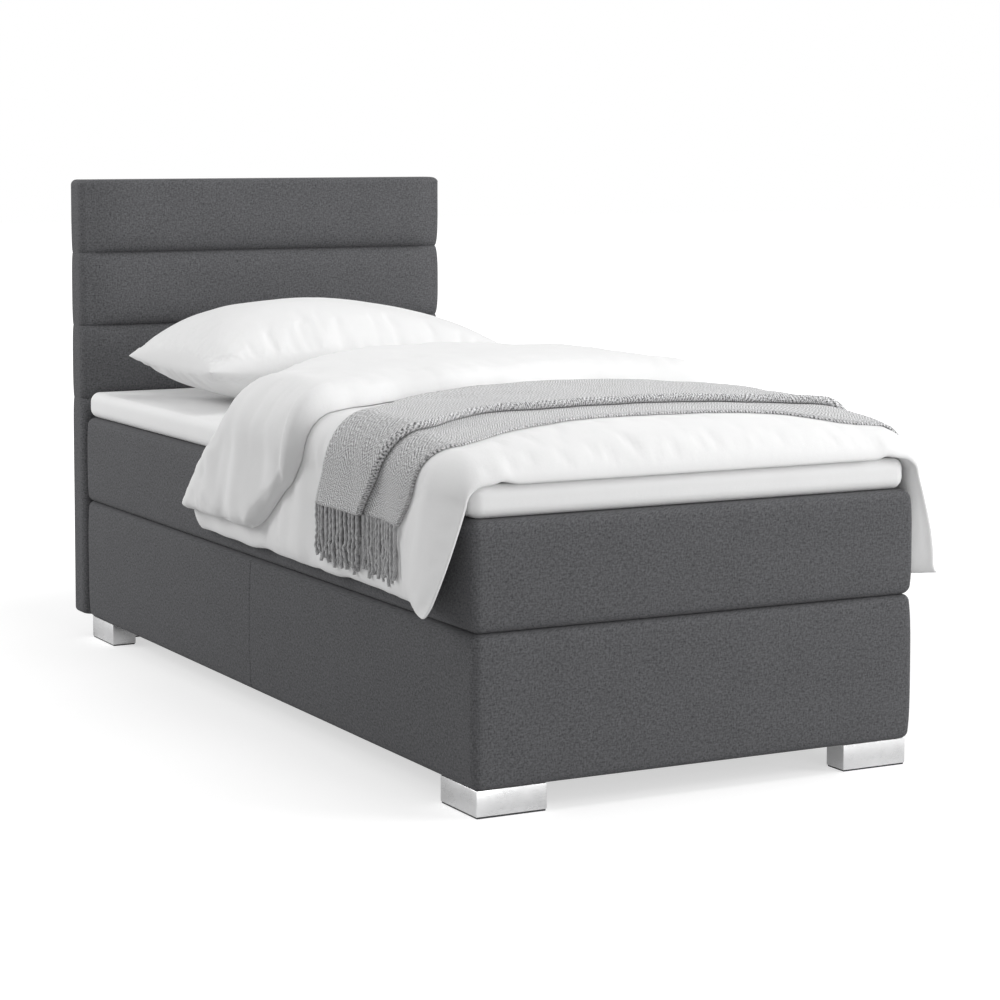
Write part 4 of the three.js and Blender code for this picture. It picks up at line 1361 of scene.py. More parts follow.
@dataclass
class Topper:
    """The topper's white cover: soft rounded edges and slightly full sides."""

    sizes: BedSizes
    ripple: Ripple
    half_width: float = 0.461
    foot_inset: float = 0.015
    edge: float = 0.022
    corner: float = 0.024
    least_corner: float = 0.003
    arcs: int = 8
    bottom_insets: tuple[float, ...] = (0.3, 0.15, 0.08, 0.045, 0.03)
    top_insets: tuple[float, ...] = (0.03, 0.045, 0.07, 0.1, 0.14, 0.19, 0.25, 0.32)
    side_rows: int = 2
    across_steps: int = 70
    along_steps: int = 150
    side_reach: float = 0.03
    side_rest: float = 0.0006
    side_waves: Waves = Waves(0.0011, 0.16)
    top_waves: Waves = Waves(0.0009, 0.2)

    def profile(self) -> list[tuple[float, float]]:
        """The upright section, as insets and levels from the middle below to the middle of the top."""
        bottom, top = self.sizes.topper_bottom, self.sizes.topper_top
        shares = even_shares(self.side_rows)
        section = [(inset, bottom) for inset in self.bottom_insets]
        section += edge_rows(self.edge, bottom, self.arcs, upper=False)
        section += [(0.0, bottom + self.edge + share * (top - bottom - 2 * self.edge)) for share in shares]
        section += edge_rows(self.edge, top, self.arcs, upper=True)
        return section + [(inset, top) for inset in self.top_insets]

    def build(self) -> Piece:
        """Makes the topper's cover.

        Returns:
            The finished piece.
        """
        sizes = self.sizes
        near, far = sizes.foot_face + self.foot_inset, sizes.head_face
        ring = RoundedRing(even_shares(self.across_steps), even_shares(self.along_steps), self.arcs)
        stack = RingStack()
        for inset, level in self.profile():
            radius = max(self.corner - min(inset, self.edge), self.least_corner)
            points, normals = ring.walk(self.half_width - inset, near + inset, far - inset, radius, radius)
            around = stack.around(points)
            levels = np.full(len(points), level)
            side = max(0.0, 1 - inset / self.side_reach)
            soft = self.side_rest + self.side_waves.over(self.ripple, around, levels)
            away = np.where(normals[:, 1] > 0.9, 0.0, soft * side)
            sink = self.side_rest + self.top_waves.over(self.ripple, points[:, 0], points[:, 1])
            lift = -np.maximum(sink, 0.0) * (1 - side) if level == sizes.topper_top else 0.0
            stack.add(points - normals * away[:, None], levels + lift, around, (inset, level))
        return stack.build("topper_cloth_cover", 2 * (2 * self.half_width + far - near), below=True)


@dataclass
class Drape:
    """The surface that the bedding lies over: the topper's top, its shoulders and the drop beside the boxes."""

    sizes: BedSizes
    flat_half: float = 0.439
    radius: float = 0.032
    side_length: float = 0.192
    loft: float = 0.074
    flare: float = 0.050
    left_share: float = 0.78
    extra: float = 0.010
    corner: float = 0.160
    head: float = 0.28915
    hem_waves: Waves = Waves(0.0055, 0.085, 2)
    hem_calm: float = 0.85
    hem_calm_length: float = 0.07
    most_dropped: float = 1.2
    ripple: Ripple = Ripple(11)

    @property
    def arc(self) -> float:
        """The length of the shoulder."""
        return QUARTER * (self.radius + self.loft / 2)

    @property
    def shoulder(self) -> float:
        """The arc length at which the drop begins."""
        return self.flat_half + self.arc

    @property
    def half(self) -> float:
        """The duvet's half width."""
        return self.shoulder + self.side_length

    def from_foot(self, y: Array) -> Array:
        """How far a place is from the foot end."""
        return np.maximum(y - self.sizes.foot_face, 0.0)

    def corner_share(self, y: Array) -> Array:
        """How much of a foot corner a place is."""
        return np.exp(-((self.from_foot(y) / self.corner) ** 2))

    def turn(self, s: Array) -> Array:
        """How far over the shoulder an arc length is, from 0 to 1."""
        return np.clip((np.abs(s) - self.flat_half) / self.arc, 0.0, 1.0)

    def place(self, s: Array, y: Array, lift: Array) -> Array:
        """The point of a draped sheet.

        Args:
            s: Arc length across from the middle of the bed.
            y: Place along the bed.
            lift: Height off the surface that it lies on.

        Returns:
            Points with three coordinates.
        """
        side = np.where(s < 0, -1.0, 1.0)
        reach = np.abs(s)
        angle = self.turn(s) * math.pi / 2
        out = self.radius + lift
        dropped = np.maximum(reach - self.shoulder, 0.0) / self.side_length
        spread = self.flare * np.where(s < 0, self.left_share, 1.0) * self.corner_share(y) * dropped
        drop = (self.side_length + self.extra * np.exp(-self.from_foot(y) / self.corner)) * dropped
        calm = 1 - self.hem_calm * np.exp(-((self.from_foot(y) / self.hem_calm_length) ** 2))
        wave = self.ripple(y + 0 * s, side * 2.0, self.hem_waves.size, self.hem_waves.layers)
        drop = drop + self.hem_waves.height * calm * wave * np.minimum(dropped, self.most_dropped) ** 2
        x = side * (np.minimum(reach, self.flat_half) + out * np.sin(angle) + spread)
        z = self.sizes.rest_level - self.radius + out * np.cos(angle) - drop
        return np.stack([x, y + 0 * x, z], axis=-1)

    def along(self, share: Array) -> Array:
        """The place along the bed of a share of the way from the foot end to the pillow."""
        return self.sizes.foot_face + share * (self.head - self.sizes.foot_face)


@dataclass
class Duvet:
    """A filled duvet that drops beside the boxes, with its head end folded back over it.

    The lines say where its edges are, as shares of the way up the bed, by shares of its half width.
    """

    drape: Drape
    crown: float = 0.018
    foot_dip: float = 0.046
    foot_dip_length: float = 0.110
    side_loft: float = 0.024
    corner_loft: float = 0.026
    flap: float = 0.052
    side_flap: float = 0.034
    flap_share: float = 0.765
    rim: float = 0.005
    edge: float = 0.060
    slope_length: float = 0.125
    hug_length: float = 0.014
    hem_edge: float = 0.034
    inner_share: float = 0.72
    ears: tuple[float, float] = (-0.405, 0.41)
    ear_width: float = 0.016
    ear_height: float = 0.007
    ear_length: float = 0.03
    seam_width: float = 0.006
    body_spacing: float = 0.0095
    flap_spacing: float = 0.009
    soft: Waves = Waves(0.0042, 0.21)
    fine: Waves = Waves(0.0016, 0.07, 2)
    side_folds: Waves = Waves(0.0075, 0.075, 2)
    foot_folds: Waves = Waves(0.0015, 0.045, 2)
    gathers: Waves = Waves(0.0026, 0.055, 2)
    slanted: Waves = Waves(0.0085, 0.1)
    loose: Waves = Waves(0.0032, 0.16)
    hem_waves: Waves = Waves(0.004, 0.07, 2)
    hem_gaps: Waves = Waves(0.0035, 0.05, 2)
    fold_line: SmoothLine = SmoothLine([
        (-1, 0.99), (-0.96, 0.972), (-0.92, 0.948), (-0.84, 0.904), (-0.76, 0.853), (-0.7, 0.797), (-0.64, 0.75),
        (-0.6, 0.738), (-0.56, 0.758), (-0.48, 0.812), (-0.36, 0.882), (-0.24, 0.926), (-0.12, 0.968), (0, 0.982),
        (0.2, 0.984), (0.45, 0.973), (0.58, 0.955), (0.68, 0.91), (0.78, 0.892), (0.88, 0.905), (1, 0.95)])
    hem_line: SmoothLine = SmoothLine([
        (-1, 0.69), (-0.95, 0.663), (-0.87, 0.605), (-0.77, 0.52), (-0.67, 0.481), (-0.52, 0.491), (-0.38, 0.51),
        (-0.22, 0.515), (-0.05, 0.544), (0.18, 0.588), (0.45, 0.604), (0.65, 0.596), (0.8, 0.61), (1, 0.68)])
    cover_lines: tuple[SmoothLine, SmoothLine] = (THROW_FOOT, THROW_HEAD)
    foot_line: SmoothLine = SmoothLine([
        (-1, 0.034), (-0.95, 0.022), (-0.87, 0.009), (-0.78, 0.002), (-0.68, 0), (-0.4, 0), (0.4, 0), (0.68, 0),
        (0.78, 0.002), (0.87, 0.009), (0.95, 0.022), (1, 0.034)])

    def body_lift(self, s: Array, y: Array) -> Array:
        """The height of the duvet's top without its turned-down part.

        Args:
            s: Arc length across.
            y: Place along the bed.

        Returns:
            The height off the surface below.
        """
        drape, ripple = self.drape, self.drape.ripple
        dip = self.foot_dip * np.exp(-drape.from_foot(y) / self.foot_dip_length)
        top = drape.loft - dip + self.crown * (1 - np.minimum(np.abs(s) / drape.flat_half, 1.0) ** 2)
        drop = self.side_loft + self.corner_loft * drape.corner_share(y)
        turned = eased(drape.turn(s))
        soft = self.soft.over(ripple, s, y) + self.fine.over(ripple, s + 3.0, y)
        folds = self.side_folds.over(ripple, s * 0.22 + 5.0, y + 0.15 * s) * turned
        near_foot = np.exp(-drape.from_foot(y) / 0.1)
        drawn = self.foot_folds.over(ripple, s * 0.9, y * 0.25) * near_foot * (1 - turned)
        return top + (drop - top) * turned + soft * (1 - 0.45 * turned) + folds + drawn

    @property
    def flap_end(self) -> float:
        """The arc length at which the turned-down part's side hem is."""
        return self.drape.shoulder + self.flap_share * self.drape.side_length

    def flap_lift(self, s: Array) -> Array:
        """The thickness of the turned-down part."""
        return self.flap + (self.side_flap - self.flap) * eased(self.drape.turn(s))

    def columns(self, end: float, spacing: float, arcs: int = 6) -> Array:
        """Arc lengths across, finer towards the side hems.

        Args:
            end: The last arc length on each side.
            spacing: The step between columns.
            arcs: The steps over each rounded hem.

        Returns:
            Arc lengths in rising order.
        """
        inner = end - self.side_loft
        flat = np.linspace(-inner, inner, int(2 * inner / spacing) + 1)
        rounded = inner + self.side_loft * np.sin(np.linspace(0, QUARTER, arcs + 1)[1:])
        return np.concatenate([-rounded[::-1], flat, rounded])

    def build(self) -> Piece:
        """Makes the duvet's body and its turned-down part as one piece.

        Returns:
            The finished piece.
        """
        sketch = MeshSketch()
        self.add_body(sketch)
        self.add_flap(sketch)
        return Filling(most=0.0045, growth=0.022, frames=14).settle(sketch.build("duvet_cover"))

    def free_share(self, s: Array, y: Array, margin: float = 0.03) -> Array:
        """How free the body's top is to fill, less under the throw and the turned-down part.

        Args:
            s: Arc length across.
            y: Place along the bed.
            margin: The distance over which it becomes free beside a cover.

        Returns:
            0 where it is covered and 1 where it is open.
        """
        share = s / self.drape.half
        beyond = 2.0 + 0 * share
        covers = ((self.cover_lines[0](share), self.cover_lines[1](share)), (self.hem_line(share), beyond))
        free = np.ones_like(s)
        for near, far in covers:
            low, high = self.drape.along(near), self.drape.along(far)
            outside = np.maximum(np.maximum(low - y, y - high), 0.0)
            free = free * eased(outside / margin)
        return free

    def body_rows(self, s: Array, edge_steps: int = 9, rows: int = 116) -> Array:
        """Places along the bed for the body's points, finer at its foot and head edges.

        Args:
            s: Arc length across.
            edge_steps: The rows over each rounded edge.
            rows: The rows between the edges, with both ends.

        Returns:
            One row of places for each step along the bed.
        """
        drape = self.drape
        share = s / drape.half
        start = drape.along(self.foot_line(share)) + 0.003
        tucked = eased((np.abs(s) - self.flap_end) / (drape.half - self.flap_end))
        rounding = 1 - fullness(drape.half - np.abs(s), 0.045)
        end = drape.along(self.fold_line(share)) - 0.02 - 0.04 * tucked - 0.05 * rounding
        ends = (1 - np.cos(np.linspace(0, QUARTER, edge_steps))) * self.edge
        middle = [start + self.edge + m * (end - start - 2 * self.edge) for m in np.linspace(0, 1, rows)[1:-1]]
        return np.array([*(start + step for step in ends), *middle, *(end - step for step in ends[::-1])])

    def add_body(self, sketch: MeshSketch) -> None:
        """Adds the lower layer, sewn flat round its rim.

        Args:
            sketch: The mesh to add to.
        """
        drape = self.drape
        s = self.columns(drape.half, self.body_spacing)
        y = self.body_rows(s)
        s = np.broadcast_to(s, y.shape)
        start, end = y[0], y[-1]
        inward = np.minimum(y - start, end - y)
        foot = y - start < end - y
        full = self.body_lift(s, y)
        total = self.rim + (full - self.rim) * fullness(drape.half - np.abs(s), self.side_loft)
        turned = eased(drape.turn(s))
        slim = turned * foot
        sloped = 1 - (1 - np.clip(inward / self.slope_length, 0.0, 1.0)) ** 1.4
        share = fullness(inward, self.edge) * (1 - slim) + sloped * slim
        thick = self.rim + (total - self.rim) * share
        flat_hem = 0.5 + np.where(s < 0, 0.25, 0.42) * drape.corner_share(y) * turned
        dropped = np.clip((np.abs(s) - drape.shoulder) / drape.side_length, 0.0, 1.0)
        outward = (0.12 + 0.45 * dropped) * slim
        low = (full - total) * flat_hem + (np.where(foot, 0.0, 0.5) + outward) * (total - thick)
        hugging = (drape.flare * dropped + outward * (total - self.rim)) * drape.corner_share(y)
        hugging = hugging * eased(inward / self.hug_length) * foot * (s > 0)
        low, thick = low - hugging, thick + hugging
        peaks = sum(np.exp(-(((s - ear) / self.ear_width) ** 2)) for ear in self.ears)
        low = low + self.ear_height * peaks * np.exp(-np.maximum(y - start, 0) / self.ear_length)
        rim = np.exp(-np.minimum(inward, drape.half - np.abs(s)) / self.seam_width)
        held = np.maximum(1 - self.free_share(s, y), rim)
        sketch.skin(drape.place(s, y, low + thick), drape.place(s, y, low), np.stack([s, y], axis=-1), held)

    def add_flap(self, sketch: MeshSketch) -> None:
        """Adds the turned-down head end, which wraps round the fold.

        Args:
            sketch: The mesh to add to.
        """
        drape = self.drape
        s = self.columns(self.flap_end, self.flap_spacing)
        share = s / drape.half
        hem = drape.along(self.hem_line(share)) + self.hem_waves.over(drape.ripple, s, 0 * s)
        start, stop = hem + self.hem_edge, drape.along(self.fold_line(share)) - self.edge
        lift = self.flap_lift(s)
        side = fullness(self.flap_end - np.abs(s), self.side_loft)
        thick = lift * side
        beside = np.exp(-(self.flap_end - np.abs(s)) / self.seam_width)
        outer, inner, places, held = [], [], [], []

        def add(high: Array, low: Array, walked: float, firm: float = 0.0) -> None:
            outer.append(high)
            inner.append(low)
            places.append(np.stack([s, np.full(len(s), walked)], axis=-1))
            held.append(np.maximum(beside, firm))

        for angle in np.linspace(0, QUARTER, 10):
            y = hem + self.hem_edge * (1 - math.cos(angle))
            rise = self.rim + (thick - self.rim) * math.sin(angle)
            firm, walked = 1 - math.sin(angle), angle * 0.03
            gap = 0.0015 + self.hem_gaps.height * np.maximum(
                drape.ripple(s + 1.0, 0 * s, self.hem_gaps.size, self.hem_gaps.layers), 0.0) * firm
            low = self.body_lift(s, y) + (lift - thick) / 2 + gap
            high = low + rise + self.fold_relief(s, y, walked) * (1 - firm)
            add(drape.place(s, y, high), drape.place(s, y, low), walked, firm)
        for m in np.linspace(0, 1, 54)[1:]:
            y, walked = start + m * (stop - start), 0.05 + m * 0.4
            low = self.body_lift(s, y) + (lift - thick) / 2
            high = low + thick + self.fold_relief(s, y, walked)
            add(drape.place(s, y, high), drape.place(s, y, low + thick * 0.3), walked)
        under = self.body_lift(s, stop)
        total, foot = under + (lift * (1 + side)) / 2, 0.5 * lift * (1 - side)
        middle, half = (total + foot) / 2, (total - foot) / 2
        for angle in np.linspace(0, math.pi, 26)[1:]:
            y, walked = stop + self.edge * math.sin(angle), 0.45 + angle * self.edge
            high = middle + half * math.cos(angle) + self.fold_relief(s, y, walked) * max(math.cos(angle), 0.0)
            low = middle + half * self.inner_share * math.cos(angle)
            within = drape.place(s, stop + self.edge * self.inner_share * math.sin(angle), low)
            add(drape.place(s, y, high), within, walked, 0.3 if angle < 2.6 else 1.0)
        sketch.skin(np.array(outer), np.array(inner), np.array(places), np.array(held))

    def fold_relief(self, s: Array, y: Array, walked: float) -> Array:
        """Soft folds over the turned-down part: short ones from its hem, and slanted ones down its drop.

        Args:
            s: Arc length across.
            y: Place along the bed.
            walked: How far from the hem, along the cloth.

        Returns:
            Heights in metres.
        """
        ripple = self.drape.ripple
        gathers = self.gathers.over(ripple, s + 2.0, y * 0.2) * math.exp(-walked / 0.07)
        slanted = self.slanted.over(ripple, s * 0.3 + y * 0.35, y + 0.25 * s) * eased(self.drape.turn(s))
        return gathers + slanted + self.loose.over(ripple, s * 0.8 + y, y - 0.4 * s)


@dataclass(frozen=True)
class Tassels:
    """A row of strands along one layer of the throw's end."""

    first: bool
    shift: float
    count: int
    layer: float
    share: float


@dataclass
class Throw:
    """A wool throw folded along its length, laid over the duvet, with fringed ends."""

    duvet: Duvet
    thick: float = 0.005
    gap: float = 0.001
    end_share: float = 0.31
    turn_share: float = 0.6
    bulge_share: float = 1.05
    bulge_waves: Waves = Waves(0.25, 0.14, 2)
    settled_share: float = 1.15
    sink_length: float = 0.045
    head_inset: float = 0.003
    columns: int = 170
    edge_waves: Waves = Waves(0.0022, 0.09, 2)
    fringe_length: float = 0.106
    strand_width: float = 0.0076
    root_lift: float = 0.0015
    root_inset: float = 0.002
    tassels: tuple[Tassels, ...] = (
        Tassels(True, 0.0, 10, 0.9, 1.0), Tassels(True, 0.5, 9, 0.2, 1.08), Tassels(False, 0.0, 12, 0.5, 1.06),
        Tassels(False, 0.3, 11, 1.6, 1.02), Tassels(False, 0.1, 12, 2.6, 0.95))
    foot_line: SmoothLine = THROW_FOOT
    layer_line: SmoothLine = SmoothLine([
        (-0.85, 0.297), (-0.73, 0.24), (-0.64, 0.197), (-0.57, 0.192), (-0.47, 0.223), (-0.35, 0.243),
        (-0.2, 0.238), (0, 0.232), (0.25, 0.222), (0.5, 0.206), (0.65, 0.2), (0.85, 0.23)])
    head_line: SmoothLine = THROW_HEAD

    @property
    def end(self) -> float:
        """The arc length at which the cloth ends and the fringe begins."""
        return self.duvet.drape.shoulder + self.end_share * self.duvet.drape.side_length

    def lines(self, s: Array) -> tuple[Array, Array, Array]:
        """Where the throw's foot edge, roll and head edge are.

        Args:
            s: Arc length across.

        Returns:
            The three places along the bed.
        """
        drape = self.duvet.drape
        share = s / drape.half
        wander = self.edge_waves.over(drape.ripple, s + 9.0, 0 * s)
        return tuple(drape.along(line(share)) + wander * scale for line, scale in (
            (self.foot_line, 1.0), (self.layer_line, -1.4), (self.head_line, 0.7)))

    def centre_line(self, s: Array) -> tuple[Array, Array]:
        """The folded cloth's middle, as places along the bed and heights over the duvet.

        Args:
            s: Arc length across.

        Returns:
            Places and heights, one row for each step over the cloth.
        """
        foot, roll, head = self.lines(s)
        one = np.ones_like(s)
        turn = self.thick * self.turn_share
        waves = self.bulge_waves.over(self.duvet.drape.ripple, s + 2.0, 0 * s)
        bulge = self.thick * (self.bulge_share + waves)
        base = self.thick / 2 + self.gap
        second = base + 2 * turn
        high, settled = second + 2 * bulge, second + self.thick * self.settled_share
        rows = [(foot + m * (head - turn - foot), base * one) for m in np.linspace(0, 1, 42)]
        rows += [(head - turn + turn * math.cos(angle), base + turn + turn * math.sin(angle) * one)
                 for angle in np.linspace(-QUARTER, QUARTER, 8)[1:]]
        rows += [(head - turn + m * (roll + bulge - head + turn), second * one) for m in np.linspace(0, 1, 32)[1:]]
        rows += [(roll + bulge + bulge * math.cos(angle), second + bulge + bulge * math.sin(angle))
                 for angle in np.linspace(-QUARTER, -3 * QUARTER, 12)[1:]]
        for m in np.linspace(0, 1, 36)[1:]:
            y = roll + bulge + m * (head - self.head_inset - roll - bulge)
            rows.append((y, settled + (high - settled) * np.exp(-(y - roll) / self.sink_length)))
        return np.array([row[0] for row in rows]), np.array([row[1] for row in rows])

    def build_cloth(self) -> tuple[Piece, float]:
        """Makes the folded cloth.

        Returns:
            The piece, and the width that it was woven to.
        """
        drape = self.duvet.drape
        s = np.linspace(-self.end, self.end, self.columns)
        y, height = self.centre_line(s)
        step_y, step_h = np.gradient(y, axis=0), np.gradient(height, axis=0)
        length = np.maximum(np.hypot(step_y, step_h), LEAST_LENGTH)
        normal_y, normal_h = -step_h / length, step_y / length
        steps = np.hypot(np.diff(y, axis=0), np.diff(height, axis=0))
        walked = np.concatenate([np.zeros((1, len(s))), np.cumsum(steps, axis=0)])
        wide = np.broadcast_to(s, y.shape)
        half = self.thick / 2
        sides = []
        for side in (1.0, -1.0):
            along = y + side * half * normal_y
            lift = height + side * half * normal_h
            sides.append(drape.place(wide, along, self.duvet.body_lift(wide, along) + lift))
        sketch = MeshSketch()
        sketch.skin(sides[0], sides[1], np.stack([walked, wide], axis=-1))
        return sketch.build("throw_cloth"), float(walked[-1].mean())

    def roots(self) -> list[tuple[Array, float, float]]:
        """The fringe's strands: where each starts, its length and its seed.

        Returns:
            One entry for each strand.
        """
        drape = self.duvet.drape
        found = []
        for side in (-1.0, 1.0):
            s = np.array([side * (self.end - self.root_inset)])
            foot, roll, head = (float(line[0]) for line in self.lines(s))
            for number, row in enumerate(self.tassels):
                near, far = (foot, roll + 0.004) if row.first else (roll - 0.002, head)
                for i in range(row.count):
                    seed = (i * 37 + number * 11 + (side > 0) * 5) % 97 / 97
                    step = (i + 0.35 + 0.3 * seed + row.shift) / (row.count + row.shift)
                    y = np.array([near + step * (far - near)])
                    lift = self.duvet.body_lift(s, y) + self.gap + row.layer * self.thick + self.root_lift
                    length = self.fringe_length * row.share * (0.86 + 0.2 * seed)
                    found.append((drape.place(s, y, lift)[0], length, seed))
        return found

    def build_fringe(self, material: Material) -> Piece:
        """Makes the fringe with a node tree that grows a twisted strand from each root.

        Args:
            material: The strands' material.

        Returns:
            The finished fringe.
        """
        roots = self.roots()
        mesh = bpy.data.meshes.new("fringe roots")
        mesh.from_pydata([tuple(place) for place, _, _ in roots], [], [])
        for name, column in (("strand_length", 1), ("strand_seed", 2)):
            layer = mesh.attributes.new(name, "FLOAT", "POINT")
            layer.data.foreach_set("value", [root[column] for root in roots])
        piece = linked("throw_fringe", mesh)
        modifier = piece.modifiers.new("strands", "NODES")
        modifier.node_group = FringeTree(self.strand_width).build(material)
        return finished(piece)


@dataclass
class FringeTree(TreeSketch):
    """The node tree of a fringe: from each point a twisted, swaying strand hangs down."""

    width: float
    sway: float = 0.036
    turns: float = 3.6
    steps: int = 40
    seed: float = 4.0
    seed_step: float = 37.0
    outward_share: float = 0.3
    taper_stops: Stops = ((0.0, 0.62), (0.06, 0.8), (0.2, 0.94), (0.45, 1.0), (0.7, 0.9), (0.88, 0.62), (1.0, 0.1))

    def __post_init__(self) -> None:
        """Opens the tree with its sizes as inputs."""
        super().__init__("fringe strands", {"Strand Width": self.width, "Sway": self.sway,
                                            "Twist": self.turns * 2 * math.pi, "Seed": self.seed})

    def build(self, material: Material) -> bpy.types.NodeTree:
        """Builds the tree.

        Args:
            material: The material that the strands get.

        Returns:
            The node tree.
        """
        line = self.add("GeometryNodeCurvePrimitiveLine", {"Start": (0, 0, 0), "End": (0, 0, -1)}).outputs[0]
        stepped = self.add("GeometryNodeResampleCurve", {"Curve": line, "Count": self.steps}).outputs[0]
        scale = self.joined(1.0, 1.0, self.named("strand_length"))
        hung = self.add("GeometryNodeInstanceOnPoints", {
            "Points": self.start["Geometry"], "Instance": stepped, "Scale": scale}).outputs[0]
        loose = self.add("GeometryNodeRealizeInstances", {"Geometry": hung}).outputs[0]
        solid = self.add("GeometryNodeCurveToMesh", {
            "Curve": self.curled(loose), "Profile Curve": self.section(), "Fill Caps": True})
        return self.finish(solid.outputs[0], material)

    def named(self, name: str) -> Socket:
        """Returns the socket of a root's own value."""
        return self.add("GeometryNodeInputNamedAttribute", {"Name": name}, data_type="FLOAT").outputs[0]

    def curled(self, curve: Socket) -> Socket:
        """Sways each strand towards its tip, twists it and tapers it.

        Args:
            curve: The straight strands.

        Returns:
            The curled strands' socket.
        """
        down = self.add("GeometryNodeSplineParameter").outputs["Factor"]
        seed = self.maths("ADD", self.named("strand_seed"), self.start["Seed"])
        offset = self.maths("MULTIPLY", seed, self.seed_step)
        swing = []
        for shift in (0.0, 11.0):
            wave = self.noise(self.joined(self.maths("MULTIPLY", down, 3.2), offset, shift), roughness=0.55)
            swing.append(self.maths("MULTIPLY", self.maths("SUBTRACT", wave, 0.5), self.start["Sway"]))
        grown = self.maths("POWER", down, 0.7)
        outward = self.maths("MULTIPLY", swing[1], self.outward_share)
        shift = self.joined(self.maths("MULTIPLY", outward, grown), self.maths("MULTIPLY", swing[0], grown))
        moved = self.add("GeometryNodeSetPosition", {"Geometry": curve, "Offset": shift}).outputs[0]
        twist = self.maths("ADD", self.maths("MULTIPLY", down, self.start["Twist"]), offset)
        tilted = self.add("GeometryNodeSetCurveTilt", {"Curve": moved, "Tilt": twist}).outputs[0]
        return self.add("GeometryNodeSetCurveRadius", {"Curve": tilted, "Radius": self.taper(down)}).outputs[0]

    def taper(self, down: Socket) -> Socket:
        """A strand's width along it: gathered at the top, full, then thin at the tip.

        Args:
            down: How far down the strand a point is, from 0 to 1.

        Returns:
            The radius factor's socket.
        """
        node = self.add("ShaderNodeFloatCurve", {"Value": down})
        curve = node.mapping.curves[0]
        first, *middle, last = self.taper_stops
        for place, value in middle:
            curve.points.new(place, value)
        curve.points[0].location, curve.points[-1].location = first, last
        node.mapping.update()
        return node.outputs[0]

    def section(self) -> Socket:
        """A strand's section: two plies side by side.

        Returns:
            The section curve's socket.
        """
        radius = self.maths("MULTIPLY", self.start["Strand Width"], 0.5)
        circle = self.add("GeometryNodeCurvePrimitiveCircle", {"Resolution": 12, "Radius": radius}).outputs[0]
        place = self.add("GeometryNodeInputPosition").outputs[0]
        parts = self.split(place)
        angle = self.maths("MULTIPLY", self.maths("ARCTAN2", parts[1], parts[0]), 2.0)
        pinch = self.maths("MULTIPLY_ADD", self.maths("COSINE", angle), 0.13, 0.87)
        shaped = self.add("ShaderNodeVectorMath", {0: place, "Scale": pinch}, operation="SCALE").outputs[0]
        return self.add("GeometryNodeSetPosition", {"Geometry": circle, "Position": shaped}).outputs[0]


@dataclass
class Pillow:
    """A filled pillow: crowned above and below its seam, fuller on the left, drawn in between its ears."""

    sizes: BedSizes
    ripple: Ripple
    front: float = 0.28915
    width: float = 0.771
    depth: float = 0.500
    rise: float = 0.129
    sink: float = 0.096
    offset: float = 0.036
    tilt: float = 0.19
    pull: float = 0.06
    dome_powers: tuple[float, float, float] = (1.84, 2.46, 0.48)
    seam_reach: float = 0.004
    soft: Waves = Waves(0.003, 0.15)
    fans: Waves = Waves(0.0055, 0.05, 2)
    fan_length: float = 0.13
    fan_start: float = 0.03
    gathers: Waves = Waves(0.0024, 0.03, 2)
    gather_length: float = 0.03
    columns: int = 150
    rows: int = 108

    def build(self) -> Piece:
        """Makes the pillow.

        Returns:
            The finished piece.
        """
        half_width, half_depth = self.width / 2, self.depth / 2
        seam, rest = self.sizes.rest_level + self.sink, self.sizes.rest_level
        u = np.sin(np.linspace(-QUARTER, QUARTER, self.columns + 1))[None, :]
        v = np.sin(np.linspace(-QUARTER, QUARTER, self.rows + 1))[:, None]
        u, v = np.broadcast_arrays(u, v)
        x = -self.offset + half_width * u * (1 - self.pull * (1 - v ** 2) * u ** 2)
        y = self.front + half_depth + half_depth * v * (1 - self.pull * (1 - u ** 2) * v ** 2)
        across, along, whole = self.dome_powers
        dome = np.maximum((1 - np.abs(u) ** across) * (1 - np.abs(v) ** along), 0.0)
        soft = (self.soft.over(self.ripple, x, y) + self.creases(u, v, x, y)) * np.minimum(dome * 8, 1.0)
        above = self.rise * (1 - self.tilt * u) * dome ** whole + soft
        below = self.sink * dome ** whole + soft
        held = np.exp(-np.minimum(half_width * (1 - np.abs(u)), half_depth * (1 - np.abs(v))) / self.seam_reach)
        resting = np.where(seam - below < rest + self.seam_reach, 1.0, held)
        places = np.stack([x, y], axis=-1)
        low = np.stack([x, y, np.maximum(seam - below, rest)], axis=-1)
        sketch = MeshSketch()
        upper = sketch.grid(np.stack([x, y, seam + above], axis=-1), places, held=held)
        under = sketch.grid(low[:, ::-1], places[:, ::-1], held=resting[:, ::-1])[:, ::-1]
        sketch.close(upper, under, places)
        return Filling(most=0.006, growth=0.03, pressure=3.0).settle(sketch.build("pillow_case"))

    def creases(self, u: Array, v: Array, x: Array, y: Array) -> Array:
        """Creases that fan out from the ears and along the seams.

        Args:
            u: Place across, from -1 to 1.
            v: Place along, from -1 to 1.
            x: The same in metres.
            y: The same in metres.

        Returns:
            Heights in metres.
        """
        total = np.zeros_like(u)
        for number, (side, end) in enumerate(((-1, -1), (1, -1), (-1, 1), (1, 1))):
            across, along = (1 - side * u) * self.width / 2, (1 - end * v) * self.depth / 2
            distance = np.hypot(across, along)
            fan = self.fans.over(self.ripple, np.arctan2(along, across) * 0.32 + number, distance * 0.16)
            total += fan * np.exp(-distance / self.fan_length) * np.minimum(distance / self.fan_start, 1.0)
        ends = []
        for first, second, place, size in ((x + 4.0, y * 0.2, v, self.depth), (y + 8.0, x * 0.2, u, self.width)):
            wave = self.ripple(first, second, self.gathers.size, self.gathers.layers)
            ends.append(wave * np.exp(-(1 - np.abs(place)) * size / 2 / self.gather_length))
        return total + self.gathers.height * (ends[0] + ends[1])


